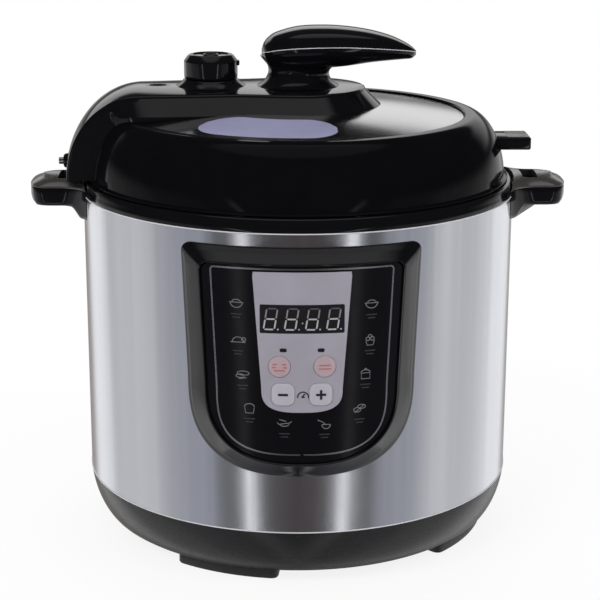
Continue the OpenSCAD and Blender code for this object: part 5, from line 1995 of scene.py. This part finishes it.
DRESSINGS = (
    Dressing("pressure_vessel", "base", "vessel_steel", VESSEL_STEEL),
    Dressing("heater_plate", "base", "cast_aluminium", CAST_METAL),
    Dressing("sensor_spring", "base", "screw_steel", SCREW_ZINC, 60.0),
    Dressing("base_screws", "base", "screw_steel", SCREW_ZINC),
    Dressing("handle_screws", "base", "screw_steel", SCREW_ZINC),
    Dressing("panel_screws", "base", "screw_steel", SCREW_ZINC),
    Dressing("power_board", "base", "board_green", BOARD),
    Dressing("power_parts", "base", "parts_dark", PARTS_DARK),
    Dressing("ribbon_cable", "base", "ribbon_grey", CABLE_GREY),
    Dressing("control_board", "base", "board_green", BOARD),
    Dressing("tact_switches", "base", "parts_dark", PARTS_DARK),
    Dressing("inlet_socket", "base", "black_satin", BLACK_SATIN, 30.0, 0.5),
    Dressing("inlet_pins", "base", "turned_steel", TURNED_STEEL, 30.0, 0.3),
    Dressing("cup_bracket", "base", "black_satin", BLACK_SATIN, 30.0, 0.6),
    Dressing("condensation_cup", "cup", "cup_clear", CUP_CLEAR, 30.0, 0.5),
    Dressing("inner_pot", "pot", "vessel_steel", POT_STEEL),
    Dressing("temperature_sensor", "sensor", "cast_aluminium", CAST_METAL, 30.0, 0.4),
    Dressing("seal_plate", "seal", "lid_steel", POT_STEEL),
    Dressing("sealing_gasket", "seal", "silicone", SILICONE, 50.0),
    Dressing("centre_grommet", "seal", "silicone", SILICONE),
    Dressing("lid_stud", "lid", "turned_steel", TURNED_STEEL, 30.0, 0.3),
    Dressing("lid_screws", "lid", "screw_steel", SCREW_ZINC),
    Dressing("steam_pipe", "lid", "turned_steel", TURNED_STEEL),
    Dressing("pipe_nut", "lid", "turned_steel", TURNED_STEEL, 30.0, 0.3),
    Dressing("steam_guard", "lid", "vessel_steel", VESSEL_STEEL),
    Dressing("valve_weight", "exhaust_valve", "turned_steel", TURNED_STEEL),
    Dressing("float_pin", "float", "float_red", FLOAT_RED, 30.0, 0.4),
    Dressing("float_seal", "float", "silicone", SILICONE),
    Dressing("push_pin", "pin", "turned_steel", TURNED_STEEL, 30.0, 0.4),
)


class InnerWorks:
    """Dresses the pieces whose CAD shape is already right."""

    def build(self) -> None:
        """Dresses every piece in the list."""
        for plan in DRESSINGS:
            self.dress(plan)

    @staticmethod
    def dress(plan: Dressing) -> None:
        """Gives a smooth, finished copy of one CAD node.

        Args:
            plan: Which node, and how it is finished.
        """
        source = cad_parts[plan.node]
        if plan.node == "sensor_spring":
            paint(source, plan.finish)
            return
        obj = bpy.data.objects.new(f"{plan.node}_dressed", source.data.copy())
        bpy.context.scene.collection.objects.link(obj)
        tidy_mesh(obj, COPY_MERGE)
        work = bmesh.new()
        work.from_mesh(obj.data)
        flat = math.radians(FLAT_ANGLE)
        bmesh.ops.dissolve_limit(work, angle_limit=flat, verts=work.verts, edges=work.edges)
        work.to_mesh(obj.data)
        work.free()
        if plan.edge:
            bevel(obj, plan.edge, 2, 40.0)
        soften(obj, plan.angle)
        paint(obj, plan.finish)
        seat(obj, plan.body, plan.slot, [plan.node])


# ---------------------------------------------------------------- studio


@dataclass(frozen=True)
class Card:
    """A reflecting card of the studio, as a direction around the cooker and a level."""

    azimuth: float
    level: float
    tint: Colour = (1.0, 1.0, 1.0)


@dataclass
class Studio:
    """The floor, the lights, the surroundings and the camera."""

    cards: tuple[Card, ...] = (
        Card(-180.0, 0.32, (1.0, 0.9, 0.84)), Card(-152.0, 0.36, (1.0, 0.92, 0.88)), Card(-142.0, 1.1),
        Card(-124.0, 1.05), Card(-118.0, 0.6), Card(-107.0, 0.72), Card(-82.0, 0.76),
        Card(-77.0, 0.5, (0.95, 0.96, 1.0)), Card(-66.0, 0.52, (0.95, 0.95, 1.0)),
        Card(-63.0, 0.46, (0.88, 0.91, 1.0)), Card(-45.0, 0.47, (0.88, 0.91, 1.0)), Card(-43.5, 0.15),
        Card(-28.6, 0.13), Card(-27.6, 2.6), Card(-25.4, 2.6), Card(-24.4, 0.1),
        Card(3.0, 0.085, (1.0, 0.84, 0.84)), Card(21.6, 0.09),
        Card(22.4, 2.6), Card(24.8, 2.6), Card(25.8, 0.15), Card(40.0, 0.13),
        Card(41.5, 0.44, (0.9, 0.92, 1.0)),
        Card(66.0, 0.46, (0.9, 0.92, 1.0)), Card(70.0, 0.62), Card(78.0, 0.8), Card(96.0, 0.66),
        Card(118.0, 0.84), Card(124.0, 1.08), Card(147.0, 1.05), Card(154.0, 0.4, (1.0, 0.95, 0.92)),
    )
    lens: float = 102.05
    pitch: float = 15.49
    roll: float = 0.1
    orbit: float = 1.05
    distance: float = 1.1217
    height: float = 0.4597
    shift: float = 0.0015
    plain_light: float = 0.62
    level_middle: float = -0.36
    card_tilt: float = 0.5
    glow_behind: float = 0.95
    dark_room: float = 0.03
    strip_overhead: float = 0.7

    def camera(self) -> None:
        """Sets the camera."""
        data = bpy.data.cameras.new("camera")
        data.lens = self.lens
        data.sensor_width = 36.0
        data.clip_end = 50.0
        obj = bpy.data.objects.new("camera", data)
        bpy.context.scene.collection.objects.link(obj)
        swing = math.radians(self.orbit)
        across, away = -math.sin(swing) * self.distance, -math.cos(swing) * self.distance
        spot = Matrix.Translation((self.shift + across, away, self.height))
        aim = Euler((math.radians(90.0 - self.pitch), 0.0, -swing)).to_matrix().to_4x4()
        obj.matrix_world = spot @ aim @ Matrix.Rotation(math.radians(self.roll), 4, "Z")
        bpy.context.scene.camera = obj

    def lamp(self, name: str, spot: Point3, aim: Point3, size: Point2, power: float, shine: bool) -> None:
        """Adds one soft area lamp.

        Args:
            name: The lamp's name.
            spot: Where it hangs.
            aim: What it points at.
            size: Its width and height.
            power: Its power in watts.
            shine: Whether glossy surfaces mirror it.
        """
        data = bpy.data.lights.new(name, "AREA")
        data.shape = "RECTANGLE"
        data.size, data.size_y = size
        data.energy = power
        obj = bpy.data.objects.new(name, data)
        obj.location = spot
        obj.rotation_euler = (Vector(aim) - Vector(spot)).to_track_quat("-Z", "Y").to_euler()
        obj.visible_glossy = shine
        bpy.context.scene.collection.objects.link(obj)

    def surroundings(self) -> None:
        """Builds the world: white to the camera, plain light, and cards in reflections."""
        world = bpy.data.worlds.new("studio")
        world.use_nodes = True
        bpy.context.scene.world = world
        made = Wiring(world.node_tree)
        ray = made.node("LightPath").outputs
        shine = made.node("Background", {"Color": self.mirrored(made)}).outputs[0]
        plain = made.node("Background", {"Color": (*WHITE, 1.0), "Strength": self.plain_light}).outputs[0]
        white = made.node("Background", {"Color": (*WHITE, 1.0), "Strength": 1.0}).outputs[0]
        lit = made.node("MixShader", {0: ray["Is Glossy Ray"], 1: plain, 2: shine}).outputs[0]
        seen = made.math("MAXIMUM", ray["Is Camera Ray"], ray["Is Transmission Ray"])
        last = made.node("MixShader", {0: seen, 1: lit, 2: white})
        made.node("OutputWorld", {"Surface": last.outputs[0]})

    def mirrored(self, made: Wiring) -> Socket:
        """What glossy surfaces mirror: striped cards around, a glow behind and a strip overhead.

        Args:
            made: The world's tree.

        Returns:
            The mirrored colour.
        """
        place = made.node("TexCoord").outputs["Generated"]
        x, y, z = made.node("SeparateXYZ", {0: place}).outputs
        turn = made.math("ARCTAN2", x, made.math("MULTIPLY", y, -1.0))
        slope = made.math("MULTIPLY", made.math("SUBTRACT", z, self.level_middle), self.card_tilt)
        tilted = made.math("SUBTRACT", turn, made.math("MULTIPLY", made.math("SIGN", turn), slope))
        share = made.math("MULTIPLY_ADD", tilted, 1 / (2 * math.pi), 0.5)
        stops = [(0.5 + c.azimuth / 360.0, tuple(c.level * tint for tint in c.tint)) for c in self.cards]
        noise = {"Scale": 26.0, "Detail": 4.0, "Roughness": 0.6, "W": turn}
        grain = made.node("TexNoise", noise, noise_dimensions="1D").outputs[0]
        stripes = {0: made.ramp(share, stops), "Scale": made.mapped(grain, NOISE_MIDDLE, (0.8, 1.2))}
        striped = made.node("VectorMath", stripes, operation="SCALE").outputs[0]
        rise = made.mapped(z, (-0.08, 0.1), kind="SMOOTHSTEP")
        behind = made.mapped(y, (0.6, 0.84), kind="SMOOTHSTEP")
        band = made.ramp(z, ((0.08, BLACK), (0.14, WHITE), (0.33, WHITE), (0.4, BLACK)))
        bright = made.math("MULTIPLY", behind, self.glow_behind)
        glow = made.math("MULTIPLY_ADD", bright, band, self.dark_room)
        overhead = made.mapped(z, (0.86, 0.92), (0.0, self.strip_overhead), "SMOOTHSTEP")
        high = made.math("ADD", glow, overhead)
        return made.node("Mix", {0: rise, 6: striped, 7: high}, data_type="RGBA").outputs[2]

    @staticmethod
    def floor() -> None:
        """Builds the pale floor, which keeps a soft shadow."""
        half = 9000.0
        made = Sketch()
        made.face([(x * half, y * half, 0.0) for x, y in ((-1, -1), (1, -1), (1, 1), (-1, 1))])
        obj = made.made("floor", LABEL_FILM)
        shader = Shader("pale_floor")
        soft = shader.node("BsdfDiffuse", {"Color": (0.9, 0.9, 0.9, 1.0)}).outputs[0]
        glow = shader.node("Emission", {"Strength": 1.0}).outputs[0]
        apart = shader.node("VectorMath", {0: shader.place}, operation="LENGTH").outputs["Value"]
        fade = shader.mapped(apart, (0.35, 1.3), (0.86, 1.0))
        share = shader.math("MULTIPLY", shader.node("LightPath").outputs["Is Camera Ray"], fade)
        mix = shader.node("MixShader", {0: share, 1: soft, 2: glow})
        shader.feed(shader.output, {"Surface": mix.outputs[0]})
        shader.tree.nodes.remove(shader.surface)
        obj.data.materials.clear()
        obj.data.materials.append(shader.material)
        obj.visible_glossy = False

    def build(self) -> None:
        """Builds the whole studio."""
        self.surroundings()
        self.floor()
        self.lamp("key_soft", (-1.3, -1.5, 2.0), (0.0, 0.0, 0.2), (1.2, 1.2), 26.0, False)
        self.lamp("fill_soft", (1.6, -1.0, 1.4), (0.0, 0.0, 0.2), (1.2, 1.2), 12.0, False)
        self.lamp("rear_soft", (0.0, 2.2, 0.95), (0.0, 0.0, 0.3), (3.2, 0.9), 40.0, False)
        self.camera()
        bpy.context.scene.view_settings.view_transform = "Standard"


# ---------------------------------------------------------------- assembly


def main() -> None:
    """Builds every sub-assembly in order."""
    logging.basicConfig(level=logging.INFO, format="%(message)s")
    Studio().build()
    SteelBody().build()
    CollarRing().build()
    BaseBowl().build()
    CurvedFeet().build()
    SideHandle(-1.0, "left").build()
    SideHandle(1.0, "right").build()
    lid = LidForm()
    lid.build_plate()
    lid.build_ring()
    Bridge(lid).build()
    PlainLabel(lid).build()
    Grip().build()
    ExhaustKnob().build()
    ControlPanel().build()
    InnerWorks().build()


if __name__ == "__main__":
    main()
